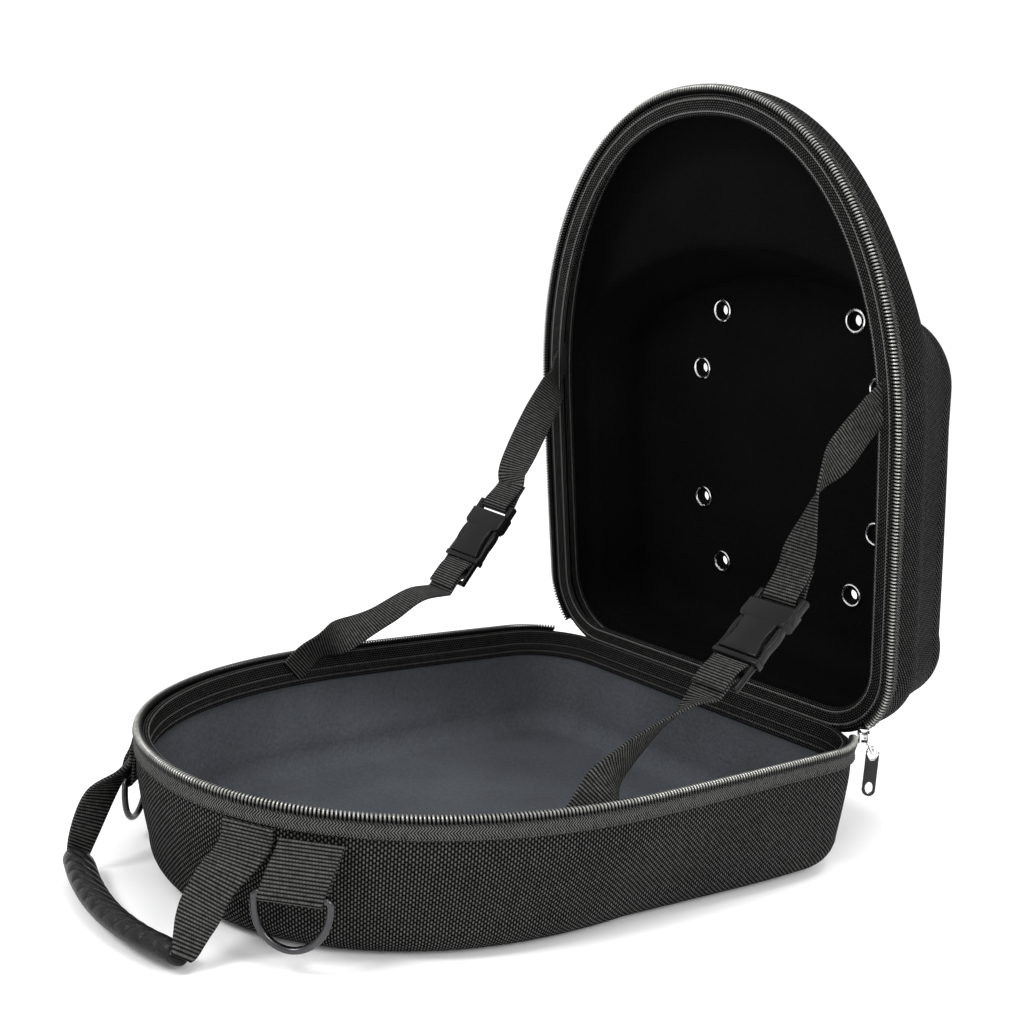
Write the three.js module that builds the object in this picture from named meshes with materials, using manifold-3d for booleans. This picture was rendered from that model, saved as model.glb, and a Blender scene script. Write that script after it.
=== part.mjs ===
// Open hat travel case: moulded hard shell, zip round the rim, stay straps, carry handle.
// Millimetres, +Z up, hinge toward +Y, nose and handle toward -Y. The floor is z = 0.
import * as THREE from 'three';
import Module from 'manifold-3d';

const wasm = await Module();
wasm.setup();

// Case outline at the zip line
const CASE_LENGTH = 340;
const CASE_WIDTH = 272;
const SIDE_BOW = 2.5;
const WIDEST_FROM_HINGE = 160;
const HINGE_CORNER = 43;
const NOSE_EXPONENT = 2.13;
const CORNER_STEPS = 4;
const SIDE_STEPS = 3;
const NOSE_STEPS = 8;

// Shell and lining
const CLEARANCE = 0.3;
const SHELL_WALL = 2.6;
const ROUND_STEPS = 4;
const LINING_WALL = 0.8;
const RIM_TOP = 2.7;
const BAND_DEPTH = 11;

// Base half
const BASE_DEPTH = 68.5;
const BASE_FLOOR_RADIUS = 17.8;
const BASE_DRAFT_POWER = 1.25;
// along: share of the length from the hinge, inset: share of the base's depth
const BASE_DRAFT = [
  { along: 0, inset: 0.064 },
  { along: 0.206, inset: 0.116 },
  { along: 0.47, inset: 0.295 },
  { along: 0.735, inset: 0.2 },
  { along: 1, inset: 0.164 },
];

// Lid half: a low brim over the nose and a deep crown behind it
const LID_DEPTH = 77;
const LID_OPEN_DEGREES = 81.9;
const LID_DROP = 6.65;
const LID_SETBACK = 1;
const BRIM_START = 20;
const CROWN_CORNER = 40;
const CROWN_TURN = 0.46;
const CROWN_SIDE_RADIUS = 20;
const CROWN_FRONT_RADIUS = 12;
// mix: share of the way from rim to crown foot, depth: share of the lid's depth
const BRIM_RINGS = [
  { mix: 0.22, depth: 0.331 },
  { mix: 0.55, depth: 0.383 },
  { mix: 1, depth: 0.409 },
];
// side and back: inset as a share of the lid's depth, front: apex as a share of the length
const CROWN_FOOT = { side: 0.105, back: 0.02, front: 0.762, bend: 215 };
const CROWN_WALL = { side: 0.2, back: 0.05, front: 0.706, bend: 207 };

// Zip and inner bindings
const TEETH_HALF = 1.9;
const TEETH_HIGH = 2.4;
const TAPE_THICK = 1.7;
const ZIP_END_DEGREES = 45;
const INNER_TAPE_THICK = 1.3;
const BINDING_LOW = 17;
const BINDING_THICK = 1.6;
const HINGE_CLOTH = 1.2;
const HINGE_CLOTH_REACH = 24;

// Eyelets through the crown; out: share of the half width, along: share of the length
const EYELET_HOLE = 3.9;
const EYELET_FLANGE = 7.1;
const EYELET_BARREL_WALL = 0.8;
const EYELET_LIP = 1.2;
const EYELET_SIDES = 10;
const EYELETS = [
  { out: 0.374, along: 0.624 },
  { out: 0.503, along: 0.515 },
  { out: 0.5, along: 0.269 },
  { out: 0.381, along: 0.151 },
];

// Webbing, buckles, rings and handle
const STRAP_WIDTH = 20;
const STRAP_THICK = 1.4;
const BUCKLE_WIDTH = 29;
const BUCKLE_SOCKET = 39;
const BUCKLE_LENGTH = 58;
const BUCKLE_THICK = 8;
const BAR = 3;
const TAB_WIDTH = 28;
const TAB_THICK = 1.6;
const TAB_SEAT = 0.55;
const TAB_DROP = 23;
const TAB_SLANT = 0.24;
const TAB_STAND = { near: 0.48, far: 0.15 };
const TAB_OUT = 0.6;
const RING_WIRE = 3.2;
const RING_DROP = 25;
const RING_SIDES = 6;
const RING_CORNER = 1.2;
const RING_SHOULDER = 4;
const HANDLE_WIDTH = 25;
const HANDLE_THICK = 1.8;
const HANDLE_SEAT = 0.45;
const HANDLE_OUT = 0.425;
const HANDLE_NARROW = 11.2;
const GRIP_WIDTH = 15.5;
const GRIP_THICK = 10;
const GRIP_POCKET = 10;
const GRIP_STEPS = 12;

const HALF = CASE_WIDTH / 2;
const RAD = Math.PI / 180;
const v3 = (x, y, z) => new THREE.Vector3(x, y, z);
const lerp = THREE.MathUtils.lerp;
const clamp = THREE.MathUtils.clamp;

const MATERIALS = {
  shell: { color: 0x1b1c1c, roughness: 0.75, metalness: 0 },
  lining: { color: 0x24282a, roughness: 0.95, metalness: 0 },
  tape: { color: 0x191a19, roughness: 0.8, metalness: 0 },
  teeth: { color: 0x2a2b2a, roughness: 0.4, metalness: 0.1 },
  webbing: { color: 0x1e1f1e, roughness: 0.8, metalness: 0 },
  plastic: { color: 0x141414, roughness: 0.3, metalness: 0 },
  steel: { color: 0xb9babb, roughness: 0.28, metalness: 1 },
  gunmetal: { color: 0x3b3c3d, roughness: 0.35, metalness: 0.9 },
  pull: { color: 0x1a1b1b, roughness: 0.35, metalness: 0.5 },
  grip: { color: 0x181818, roughness: 0.5, metalness: 0 },
};

const part = new THREE.Group();

// Add one closed body under its node name
function add(name, geometry, look) {
  const mesh = new THREE.Mesh(geometry, new THREE.MeshStandardMaterial(MATERIALS[look]));
  mesh.name = name;
  part.add(mesh);
  return mesh;
}

// Indexed geometry from points and triangles, turned outward
function solid(points, triangles) {
  let volume = 0;
  for (const [a, b, c] of triangles) {
    const cross = new THREE.Vector3().crossVectors(points[b], points[c]);
    volume += points[a].dot(cross);
  }
  const faces = volume < 0 ? triangles.map(([a, b, c]) => [a, c, b]) : triangles;
  const geometry = new THREE.BufferGeometry();
  geometry.setAttribute('position', new THREE.Float32BufferAttribute(points.flatMap((p) => p.toArray()), 3));
  geometry.setIndex(faces.flat());
  geometry.computeVertexNormals();
  return geometry;
}

// Join rings of equal count with quads; wrap closes the last ring onto the first.
// Quads that turned picks by ring and column are split on the other diagonal.
const NONE = () => false;
function bridge(rings, wrap, turned = NONE) {
  const count = rings[0].length;
  const triangles = [];
  const last = wrap ? rings.length : rings.length - 1;
  for (let r = 0; r < last; r++) {
    const low = r * count;
    const high = ((r + 1) % rings.length) * count;
    for (let i = 0; i < count; i++) {
      const j = (i + 1) % count;
      if (turned(r, i)) {
        triangles.push([low + i, low + j, high + i], [low + j, high + j, high + i]);
      } else {
        triangles.push([low + i, low + j, high + j], [low + i, high + j, high + i]);
      }
    }
  }
  return triangles;
}

// Rings with a fan to a point at each end
function capped(rings, first, last, turned = NONE) {
  const count = rings[0].length;
  const points = rings.flat();
  const triangles = bridge(rings, false, turned);
  const a = points.push(first) - 1;
  const b = points.push(last) - 1;
  const tail = (rings.length - 1) * count;
  for (let i = 0; i < count; i++) {
    const j = (i + 1) % count;
    triangles.push([a, j, i], [b, tail + i, tail + j]);
  }
  return solid(points, triangles);
}

const middle = (ring) => ring.reduce((sum, p) => sum.add(p), v3(0, 0, 0)).divideScalar(ring.length);

// Manifold booleans
function toManifold(geometry) {
  const positions = geometry.getAttribute('position').array;
  const index = geometry.index ? geometry.index.array : positions.map((_, i) => i).slice(0, positions.length / 3);
  const mesh = new wasm.Mesh({
    numProp: 3,
    vertProperties: new Float32Array(positions),
    triVerts: new Uint32Array(index),
  });
  mesh.merge();
  return new wasm.Manifold(mesh);
}

function fromManifold(manifold) {
  const mesh = manifold.getMesh();
  const geometry = new THREE.BufferGeometry();
  geometry.setAttribute('position', new THREE.Float32BufferAttribute(mesh.vertProperties, 3));
  geometry.setIndex(Array.from(mesh.triVerts));
  geometry.computeVertexNormals();
  return geometry;
}

const cut = (body, tools) => fromManifold(tools.reduce((m, t) => m.subtract(toManifold(t)), toManifold(body)));
const join = (bodies) => fromManifold(bodies.slice(1).reduce((m, t) => m.add(toManifold(t)), toManifold(bodies[0])));

// Case outline: right half from the hinge to the nose, then mirrored
function sideX(y) {
  return HALF - SIDE_BOW * ((y + WIDEST_FROM_HINGE) / WIDEST_FROM_HINGE) ** 2;
}

function halfOutline() {
  const points = [];
  const cornerX = sideX(-HINGE_CORNER) - HINGE_CORNER;
  for (let i = 0; i <= CORNER_STEPS; i++) {
    const a = (90 - (90 * i) / CORNER_STEPS) * RAD;
    points.push([cornerX + HINGE_CORNER * Math.cos(a), -HINGE_CORNER + HINGE_CORNER * Math.sin(a)]);
  }
  for (let i = 1; i <= SIDE_STEPS; i++) {
    const y = lerp(-HINGE_CORNER, -WIDEST_FROM_HINGE, i / SIDE_STEPS);
    points.push([sideX(y), y]);
  }
  for (let i = 1; i <= NOSE_STEPS; i++) {
    points.push(nosePoint(i / NOSE_STEPS));
  }
  return points;
}

// Point on the nose, share 0 at the widest place and 1 at the tip
function nosePoint(share) {
  const a = (share * Math.PI) / 2;
  const power = 2 / NOSE_EXPONENT;
  const x = share === 1 ? 0 : HALF * Math.cos(a) ** power;
  return [x, -WIDEST_FROM_HINGE - (CASE_LENGTH - WIDEST_FROM_HINGE) * Math.sin(a) ** power];
}

// Stations: point, outward direction scaled so offset sides stay parallel, share of the length
function makeStations() {
  const half = halfOutline();
  const mirrored = half.slice(0, -1).reverse().map(([x, y]) => [-x, y]);
  const loop = [...half, ...mirrored];
  return loop.map(([x, y], i) => {
    const [ax, ay] = loop[(i + loop.length - 1) % loop.length];
    const [bx, by] = loop[(i + 1) % loop.length];
    const inLength = Math.hypot(x - ax, y - ay);
    const outLength = Math.hypot(bx - x, by - y);
    const n1 = [-(y - ay) / inLength, (x - ax) / inLength];
    const n2 = [-(by - y) / outLength, (bx - x) / outLength];
    const scale = 1 + n1[0] * n2[0] + n1[1] * n2[1];
    return { x, y, nx: (n1[0] + n2[0]) / scale, ny: (n1[1] + n2[1]) / scale, along: -y / CASE_LENGTH, i };
  });
}

const STATIONS = makeStations();
const TIP = CORNER_STEPS + SIDE_STEPS + NOSE_STEPS;
const TURN = STATIONS.findIndex((s) => s.along >= CROWN_TURN);
// Case frame: the outline's hinge line lies half a length behind the middle
const HINGE_Y = CASE_LENGTH / 2;

function tableValue(table, key, along) {
  for (let i = 1; i < table.length; i++) {
    if (along <= table[i].along) {
      const share = (along - table[i - 1].along) / (table[i].along - table[i - 1].along);
      return lerp(table[i - 1][key], table[i][key], share);
    }
  }
  return table[table.length - 1][key];
}

const outwards = (s, out, z) => v3(s.x + s.nx * out, s.y + s.ny * out, z);

// Places in the case frame for the base and for the opened lid
const baseFrame = new THREE.Matrix4().makeTranslation(0, HINGE_Y, BASE_DEPTH);
const lidFrame = new THREE.Matrix4()
  .makeTranslation(0, HINGE_Y + LID_SETBACK, BASE_DEPTH - LID_DROP)
  .multiply(new THREE.Matrix4().makeRotationX(-LID_OPEN_DEGREES * RAD));

// Base walls: how far in the outside lies at a depth below the rim
function baseInset(along, depth) {
  if (depth <= BINDING_LOW) return 0;
  const share = (depth - BINDING_LOW) / (BASE_DEPTH - BINDING_LOW);
  return tableValue(BASE_DRAFT, 'inset', along) * BASE_DEPTH * share ** BASE_DRAFT_POWER;
}

const FLOOR_START = BASE_DEPTH - BASE_FLOOR_RADIUS;

function baseRings() {
  const rings = [RIM_TOP, BINDING_LOW, BASE_DEPTH / 2].map((depth) => {
    return STATIONS.map((s) => outwards(s, -baseInset(s.along, depth), -depth));
  });
  for (let k = 0; k < ROUND_STEPS; k++) {
    const a = (90 * k * RAD) / (ROUND_STEPS - 1);
    rings.push(STATIONS.map((s) => {
      const inset = baseInset(s.along, FLOOR_START) + BASE_FLOOR_RADIUS * (1 - Math.cos(a));
      return outwards(s, -inset, -FLOOR_START - BASE_FLOOR_RADIUS * Math.sin(a));
    }));
  }
  return rings;
}

// Crown outline in plan: side points offset inward, then a corner and a front arc
function crownPoint(s, form, extra) {
  const mirrored = s.i > TIP;
  const station = mirrored ? STATIONS[2 * TIP - s.i] : s;
  const side = form.side * LID_DEPTH + extra;
  const back = form.back * LID_DEPTH + extra;
  let p;
  if (station.i <= TURN) {
    const share = clamp(station.i / CORNER_STEPS, 0, 1);
    const inset = lerp(back, side, share);
    p = [station.x - station.nx * inset, station.y - station.ny * inset];
  } else {
    p = crownFront(station, form, side, extra);
  }
  return mirrored ? [-p[0], p[1]] : p;
}

function crownFront(station, form, side, extra) {
  const start = STATIONS[TURN];
  const edge = start.x - start.nx * side;
  const corner = CROWN_CORNER - extra;
  const bend = form.bend - extra;
  const centreY = -form.front * CASE_LENGTH + extra + bend;
  const cornerX = edge - corner;
  const cornerY = centreY - Math.sqrt((bend - corner) ** 2 - cornerX ** 2);
  const meet = Math.atan2(cornerX, centreY - cornerY);
  const startY = start.y - start.ny * side;
  const lengths = [startY - cornerY, corner * (Math.PI / 2 - meet), bend * meet];
  const total = lengths[0] + lengths[1] + lengths[2];
  let run = (noseRun[station.i] / noseRun[TIP]) * total;
  if (run <= lengths[0]) return [edge, startY - run];
  run -= lengths[0];
  if (run <= lengths[1]) {
    const a = -run / corner;
    return [cornerX + corner * Math.cos(a), cornerY + corner * Math.sin(a)];
  }
  run -= lengths[1];
  const a = meet - run / bend;
  return [bend * Math.sin(a), centreY - bend * Math.cos(a)];
}

// Length along the outline from the crown's turn, by station
const noseRun = STATIONS.map(() => 0);
for (let i = TURN + 1; i <= TIP; i++) {
  const a = STATIONS[i - 1];
  const b = STATIONS[i];
  noseRun[i] = noseRun[i - 1] + Math.hypot(b.x - a.x, b.y - a.y);
}

function frontShare(s) {
  const i = s.i > TIP ? 2 * TIP - s.i : s.i;
  return i <= TURN ? 0 : noseRun[i] / noseRun[TIP];
}

function lidRings() {
  const rings = [
    STATIONS.map((s) => outwards(s, 0, RIM_TOP)),
    STATIONS.map((s) => outwards(s, 0, BRIM_START)),
  ];
  for (const row of BRIM_RINGS) {
    rings.push(STATIONS.map((s) => {
      const [x, y] = crownPoint(s, CROWN_FOOT, 0);
      return v3(lerp(s.x, x, row.mix), lerp(s.y, y, row.mix), row.depth * LID_DEPTH);
    }));
  }
  for (let k = 0; k < ROUND_STEPS; k++) {
    const a = (90 * k * RAD) / (ROUND_STEPS - 1);
    rings.push(STATIONS.map((s) => {
      const radius = lerp(CROWN_SIDE_RADIUS, CROWN_FRONT_RADIUS, clamp(frontShare(s) * 1.6, 0, 1));
      const [x, y] = crownPoint(s, CROWN_WALL, radius * (1 - Math.cos(a)));
      return v3(x, y, LID_DEPTH - radius + radius * Math.sin(a));
    }));
  }
  return rings;
}

// Move every ring point inward so that all faces round it shift by the same distance
function offsetRings(rings, distance, plate) {
  const count = rings[0].length;
  const at = (r, i) => rings[r][(i + count) % count];
  return rings.map((ring, r) => ring.map((p, i) => {
    const faces = [];
    for (const [dr, di] of [[-1, -1], [-1, 0], [0, -1], [0, 0]]) {
      const low = r + dr;
      if (low < 0 || low >= rings.length - 1) continue;
      const a = at(low, i + di);
      const b = at(low, i + di + 1);
      const c = at(low + 1, i + di);
      const d = at(low + 1, i + di + 1);
      const n = v3(0, 0, 0).crossVectors(v3(0, 0, 0).subVectors(d, a), v3(0, 0, 0).subVectors(c, b));
      faces.push([n.normalize().multiplyScalar(-plate.z), distance]);
    }
    if (r === rings.length - 1) faces.push([plate.clone(), distance], [plate.clone(), distance]);
    if (r === 0) faces.push([v3(0, 0, 1), 0], [v3(0, 0, 1), 0], [v3(0, 0, 1), 0]);
    return p.clone().add(solveOffset(faces));
  }));
}

// Least squares offset: each face direction dot the move equals minus its distance
function solveOffset(faces) {
  const m = new THREE.Matrix3().set(1e-4, 0, 0, 0, 1e-4, 0, 0, 0, 1e-4);
  const right = v3(0, 0, 0);
  for (const [n, distance] of faces) {
    const e = m.elements;
    const v = n.toArray();
    for (let c = 0; c < 3; c++) {
      for (let r = 0; r < 3; r++) e[c * 3 + r] += v[r] * v[c];
    }
    right.addScaledVector(n, -distance);
  }
  return right.applyMatrix3(m.invert());
}

// Hollow half: outside rings, inside rings and a closed plate at the bottom
function halfBody(rings, from, to, plate) {
  const outside = offsetRings(rings, from, plate);
  const inside = offsetRings(rings, to, plate);
  const loops = [...outside.reverse(), ...inside];
  return capped(loops, middle(loops[0]), middle(loops[loops.length - 1]), (r) => r < rings.length);
}

// Outside surface of each half and the direction its closed plate faces
const baseSurface = baseRings();
const lidSurface = lidRings();
const DOWN = v3(0, 0, -1);
const UP = v3(0, 0, 1);
const LINING_OUT = SHELL_WALL + CLEARANCE;
const LINING_IN = LINING_OUT + LINING_WALL;

// Band of constant section round the rim; an open run stops at the hinge corners
function rimBand(section, side, open) {
  const skipped = Math.round(((90 - ZIP_END_DEGREES) / 90) * CORNER_STEPS);
  const run = open ? STATIONS.slice(skipped, STATIONS.length - skipped) : STATIONS;
  const rings = run.map((s) => section.map(([out, depth]) => outwards(s, out, side * depth)));
  if (open) return capped(rings, middle(rings[0]), middle(rings[rings.length - 1]));
  return solid(rings.flat(), bridge(rings, true));
}

const TEETH_SECTION = [
  [TEETH_HALF, 0.7], [TEETH_HALF - 0.8, 0], [0.8 - TEETH_HALF, 0],
  [-TEETH_HALF, 0.7], [-TEETH_HALF, TEETH_HIGH], [TEETH_HALF, TEETH_HIGH],
];
const TAPE_IN = CLEARANCE;
const TAPE_OUT = TAPE_IN + TAPE_THICK;
const TAPE_SECTION = [
  [TAPE_OUT, 3.4], [TAPE_OUT - 0.7, RIM_TOP], [TAPE_IN, RIM_TOP],
  [TAPE_IN, BAND_DEPTH], [TAPE_OUT - 0.5, BAND_DEPTH], [TAPE_OUT + 0.2, BAND_DEPTH - 1],
];
const INNER_FACE = -(LINING_IN + CLEARANCE);
const INNER_END = INNER_FACE - INNER_TAPE_THICK;
const INNER_TOP = TEETH_HIGH;
const INNER_TAPE_SECTION = [
  [-TEETH_HALF - CLEARANCE, 0.8], [-TEETH_HALF - CLEARANCE, INNER_TOP], [INNER_FACE, INNER_TOP],
  [INNER_FACE, BAND_DEPTH - 0.4], [INNER_END + 0.3, BAND_DEPTH - 0.4], [INNER_END, BAND_DEPTH - 1.2],
  [INNER_END, 2], [INNER_END + 1, 0.8],
];
const BINDING_FACE = INNER_FACE;
const BINDING_SECTION = [
  [BINDING_FACE, BAND_DEPTH], [BINDING_FACE, BINDING_LOW], [BINDING_FACE - BINDING_THICK + 0.5, BINDING_LOW],
  [BINDING_FACE - BINDING_THICK, BINDING_LOW - 0.8], [BINDING_FACE - BINDING_THICK, BAND_DEPTH + 0.8],
  [BINDING_FACE - BINDING_THICK + 0.5, BAND_DEPTH],
];

function addHalf(prefix, surface, plate, side, frame, holes) {
  const shell = halfBody(surface, 0, SHELL_WALL, plate);
  const lining = halfBody(surface, LINING_OUT, LINING_IN, plate);
  const pieces = [
    ['shell', holes.length ? cut(shell, holes) : shell, 'shell'],
    ['lining', holes.length ? cut(lining, holes) : lining, 'lining'],
    ['zip_tape', rimBand(TAPE_SECTION, side, true), 'tape'],
    ['zip_teeth', rimBand(TEETH_SECTION, side, true), 'teeth'],
    ['inner_tape', rimBand(INNER_TAPE_SECTION, side, false), 'tape'],
    ['binding', rimBand(BINDING_SECTION, side, false), 'tape'],
  ];
  for (const [name, geometry, look] of pieces) add(`${prefix}_${name}`, geometry.applyMatrix4(frame), look);
}

// Eyelet: a barrel with a rolled lip on both faces of the crown's plate
const PLATE_IN = LID_DEPTH - LINING_IN;
const EYELET_BARREL = EYELET_HOLE + EYELET_BARREL_WALL;

function eyeletProfile() {
  const low = PLATE_IN - CLEARANCE;
  const high = LID_DEPTH + CLEARANCE;
  return [
    [EYELET_HOLE, low - EYELET_LIP], [EYELET_FLANGE - 1.2, low - EYELET_LIP],
    [EYELET_FLANGE, low], [EYELET_BARREL, low], [EYELET_BARREL, high],
    [EYELET_FLANGE, high], [EYELET_FLANGE - 0.8, high + EYELET_LIP], [EYELET_HOLE, high + EYELET_LIP],
  ];
}

function revolve(profile, steps) {
  const rings = [];
  for (let i = 0; i < steps; i++) {
    const a = (i / steps) * Math.PI * 2;
    rings.push(profile.map(([r, z]) => v3(r * Math.cos(a), r * Math.sin(a), z)));
  }
  return solid(rings.flat(), bridge(rings, true));
}

function eyeletPlaces() {
  return EYELETS.flatMap((e) => [1, -1].map((side) => [side * e.out * HALF, -e.along * CASE_LENGTH]));
}

function eyeletHoles() {
  return eyeletPlaces().map(([x, y]) => {
    const hole = new THREE.CylinderGeometry(EYELET_BARREL + CLEARANCE, EYELET_BARREL + CLEARANCE, 30, EYELET_SIDES);
    return hole.rotateX(Math.PI / 2).translate(x, y, LID_DEPTH);
  });
}

addHalf('base', baseSurface, DOWN, -1, baseFrame, []);
addHalf('lid', lidSurface, UP, 1, lidFrame, eyeletHoles());
eyeletPlaces().forEach(([x, y], i) => {
  const ring = revolve(eyeletProfile(), EYELET_SIDES).translate(x, y, 0);
  add(`lid_eyelet_${i + 1}`, ring.applyMatrix4(lidFrame), 'steel');
});

// Hinge cloths: straight strips along the back, drawn as sections in y and z
const BACK_X = sideX(-HINGE_CORNER) - HINGE_CORNER;

function strip(section, halfLength) {
  const ring = (x) => section.map(([y, z]) => v3(x, y, z));
  const rings = [ring(-halfLength), ring(halfLength)];
  return capped(rings, middle(rings[0]), middle(rings[1]));
}

function lidToHinge(out, depth) {
  const p = v3(0, out, depth).applyMatrix4(lidFrame);
  return [p.y, p.z];
}

function innerHingeCloth() {
  const left = HINGE_Y - TEETH_HALF;
  const [rightLow] = lidToHinge(-TEETH_HALF - CLEARANCE, 0.8);
  const right = rightLow - CLEARANCE - 0.1;
  const low = BASE_DEPTH - RIM_TOP + CLEARANCE;
  return strip([[left, low], [right, low], [right, low + 1], [left, low + HINGE_CLOTH]], BACK_X);
}

function outerHingeCloth() {
  const inner = HINGE_Y + CLEARANCE;
  const outer = inner + HINGE_CLOTH;
  const reach = HINGE_CLOTH_REACH;
  const [nearY, nearZ] = lidToHinge(CLEARANCE, RIM_TOP);
  const [farY, farZ] = lidToHinge(CLEARANCE, BRIM_START);
  const [edgeY, edgeZ] = lidToHinge(CLEARANCE + HINGE_CLOTH, BRIM_START);
  const [turnY, turnZ] = lidToHinge(CLEARANCE + HINGE_CLOTH, RIM_TOP);
  const back = strip([
    [inner, BASE_DEPTH - reach], [outer, BASE_DEPTH - reach], [outer + 0.4, turnZ - 0.6],
    [outer, nearZ], [inner, nearZ - 0.4],
  ], BACK_X);
  const under = strip([[inner + 0.2, nearZ - 0.2], [inner + 0.2, turnZ - 1], [turnY + 1, turnZ - 0.1],
    [edgeY, edgeZ], [farY, farZ], [nearY, nearZ]], BACK_X);
  return join([back, under]);
}

add('hinge_cloth_inner', innerHingeCloth(), 'tape');
add('hinge_cloth_outer', outerHingeCloth(), 'shell');

// A flat or round section carried along a route with a width direction at each point
function sweep(route, section, sheared = false) {
  const rings = route.map(({ at, wide }, i) => {
    const before = route[Math.max(i - 1, 0)].at;
    const after = route[Math.min(i + 1, route.length - 1)].at;
    const t = v3(0, 0, 0).subVectors(after, before).normalize();
    const n = v3(0, 0, 0).crossVectors(wide, t).normalize();
    const w = sheared ? wide : v3(0, 0, 0).crossVectors(t, n).normalize();
    return section.map(([a, b]) => at.clone().addScaledVector(w, a).addScaledVector(n, b));
  });
  return capped(rings, middle(rings[0]), middle(rings[rings.length - 1]), TOP_TURNED);
}

// The two faces of a flat strap are split alike, so a twist keeps its thickness
const TOP_TURNED = (r, column) => column === 2;

const flatSection = (width, thick) => [
  [-width / 2, -thick / 2], [width / 2, -thick / 2], [width / 2, thick / 2], [-width / 2, thick / 2],
];

// Smooth a few chosen points and width directions into a route
function smooth(points, widths, steps) {
  const path = new THREE.CatmullRomCurve3(points, false, 'centripetal');
  const turn = new THREE.CatmullRomCurve3(widths, false, 'catmullrom');
  const route = [];
  for (let i = 0; i <= steps; i++) {
    route.push({ at: path.getPoint(i / steps), wide: turn.getPoint(i / steps).normalize() });
  }
  return route;
}

const SIDES = [{ name: 'near', sign: 1 }, { name: 'far', sign: -1 }];

// Tab and ring hanging at each side of the nose
function noseShare(out) {
  return Math.acos(clamp(out ** (NOSE_EXPONENT / 2), 0, 1)) / (Math.PI / 2);
}

// Frame on the outside of the nose: point, outward and sideways directions, at z of the rim
function nosePlace(out, sign) {
  const share = noseShare(out);
  const [x, y] = nosePoint(share);
  const [ax, ay] = nosePoint(share - 0.01);
  const [bx, by] = nosePoint(share + 0.01);
  const side = v3(ax - bx, ay - by, 0).normalize();
  const outward = v3(side.y, -side.x, 0);
  side.x *= sign;
  outward.x *= sign;
  return { at: v3(sign * x, y + HINGE_Y, BASE_DEPTH), side, outward, along: -y / CASE_LENGTH };
}

const RING_HALF = TAB_WIDTH / 2 + CLEARANCE + 0.5 + RING_WIRE / 2;
const EYE = RING_WIRE / 2 + CLEARANCE + TAB_THICK / 2;

function tabFrame(name, sign) {
  const place = nosePlace(TAB_OUT, sign);
  const down = v3(0, 0, -1).addScaledVector(place.side, -TAB_SLANT)
    .addScaledVector(place.outward, TAB_STAND[name]).normalize();
  const through = v3(0, 0, 0).crossVectors(down, place.side).normalize();
  if (through.dot(place.outward) < 0) through.negate();
  const top = place.at.clone().addScaledVector(place.outward, TAPE_IN + TAB_THICK / 2 + TAB_SEAT);
  const start = top.clone().addScaledVector(v3(0, 0, -1), BAND_DEPTH + 1);
  const hang = v3(0, 0, -1);
  return { ...place, down, through, hang, across: place.side, start };
}

function tabRoute(frame) {
  const point = (drop, out) => frame.start.clone().addScaledVector(frame.down, drop).addScaledVector(frame.through, out);
  const points = [point(0, TAB_THICK + CLEARANCE), point(TAB_DROP * 0.6, EYE + 0.8)];
  for (let k = 0; k <= 6; k++) {
    const a = (90 - 30 * k) * RAD;
    points.push(point(TAB_DROP + EYE * Math.cos(a), EYE * Math.sin(a)));
  }
  points.push(point(TAB_DROP * 0.6, -EYE * 0.4), point(0, 0));
  return points.map((at) => ({ at, wide: frame.across }));
}

function circleSection(radius, sides) {
  const section = [];
  for (let i = 0; i < sides; i++) {
    const a = (i / sides) * Math.PI * 2;
    section.push([radius * Math.cos(a), radius * Math.sin(a)]);
  }
  return section;
}

// Closed wire ring through a loop of points in the plane of two directions
function wireRing(points, normal, radius, sides) {
  const section = circleSection(radius, sides);
  const rings = points.map((p, i) => {
    const before = points[(i + points.length - 1) % points.length];
    const after = points[(i + 1) % points.length];
    const t = v3(0, 0, 0).subVectors(after, before).normalize();
    const side = v3(0, 0, 0).crossVectors(t, normal).normalize();
    return section.map(([a, b]) => p.clone().addScaledVector(side, a).addScaledVector(normal, b));
  });
  return solid(rings.flat(), bridge(rings, true));
}

function ringLoop(frame) {
  const centre = frame.start.clone().addScaledVector(frame.down, TAB_DROP);
  const bowl = RING_DROP - RING_WIRE / 2;
  const points = [];
  const put = (a, d) => points.push(centre.clone().addScaledVector(frame.across, a).addScaledVector(frame.hang, d));
  put(-RING_HALF + RING_CORNER, 0);
  put(RING_HALF - RING_CORNER, 0);
  put(RING_HALF, RING_CORNER);
  for (let k = 0; k <= 12; k++) {
    const a = (k / 12) * Math.PI;
    put(RING_HALF * Math.cos(a), RING_SHOULDER + (bowl - RING_SHOULDER) * Math.sin(a));
  }
  put(-RING_HALF, RING_CORNER);
  return points;
}

for (const { name, sign } of SIDES) {
  const frame = tabFrame(name, sign);
  add(`ring_tab_${name}`, sweep(tabRoute(frame), flatSection(TAB_WIDTH, TAB_THICK), true), 'webbing');
  const facing = v3(0, 0, 0).crossVectors(frame.hang, frame.across).normalize();
  add(`d_ring_${name}`, wireRing(ringLoop(frame), facing, RING_WIRE / 2, RING_SIDES), 'gunmetal');
}

// Carry handle: two webbing ends and a flat grip with a pocket at each end
const GRIP_LOW = GRIP_THICK / 2 + 3;
// across: share of the half width, forward: mm past the nose, up: mm above the floor
const GRIP_ROUTE = [
  { across: 0.44, forward: 17, up: 1 },
  { across: 0.26, forward: 23.5, up: 0.4 },
  { across: 0.05, forward: 26, up: 0 },
  { across: -0.16, forward: 23.5, up: 0.4 },
  { across: -0.36, forward: 17.5, up: 1 },
];
// across: share of the half width, forward: mm past the nose, up: mm above the grip
const HANDLE_BENDS = {
  near: [{ across: 0.43, forward: -2, up: 26 }, { across: 0.44, forward: 8, up: 11 }],
  far: [{ across: -0.4, forward: 4, up: 30 }, { across: -0.38, forward: 13, up: 14 }],
};

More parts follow.
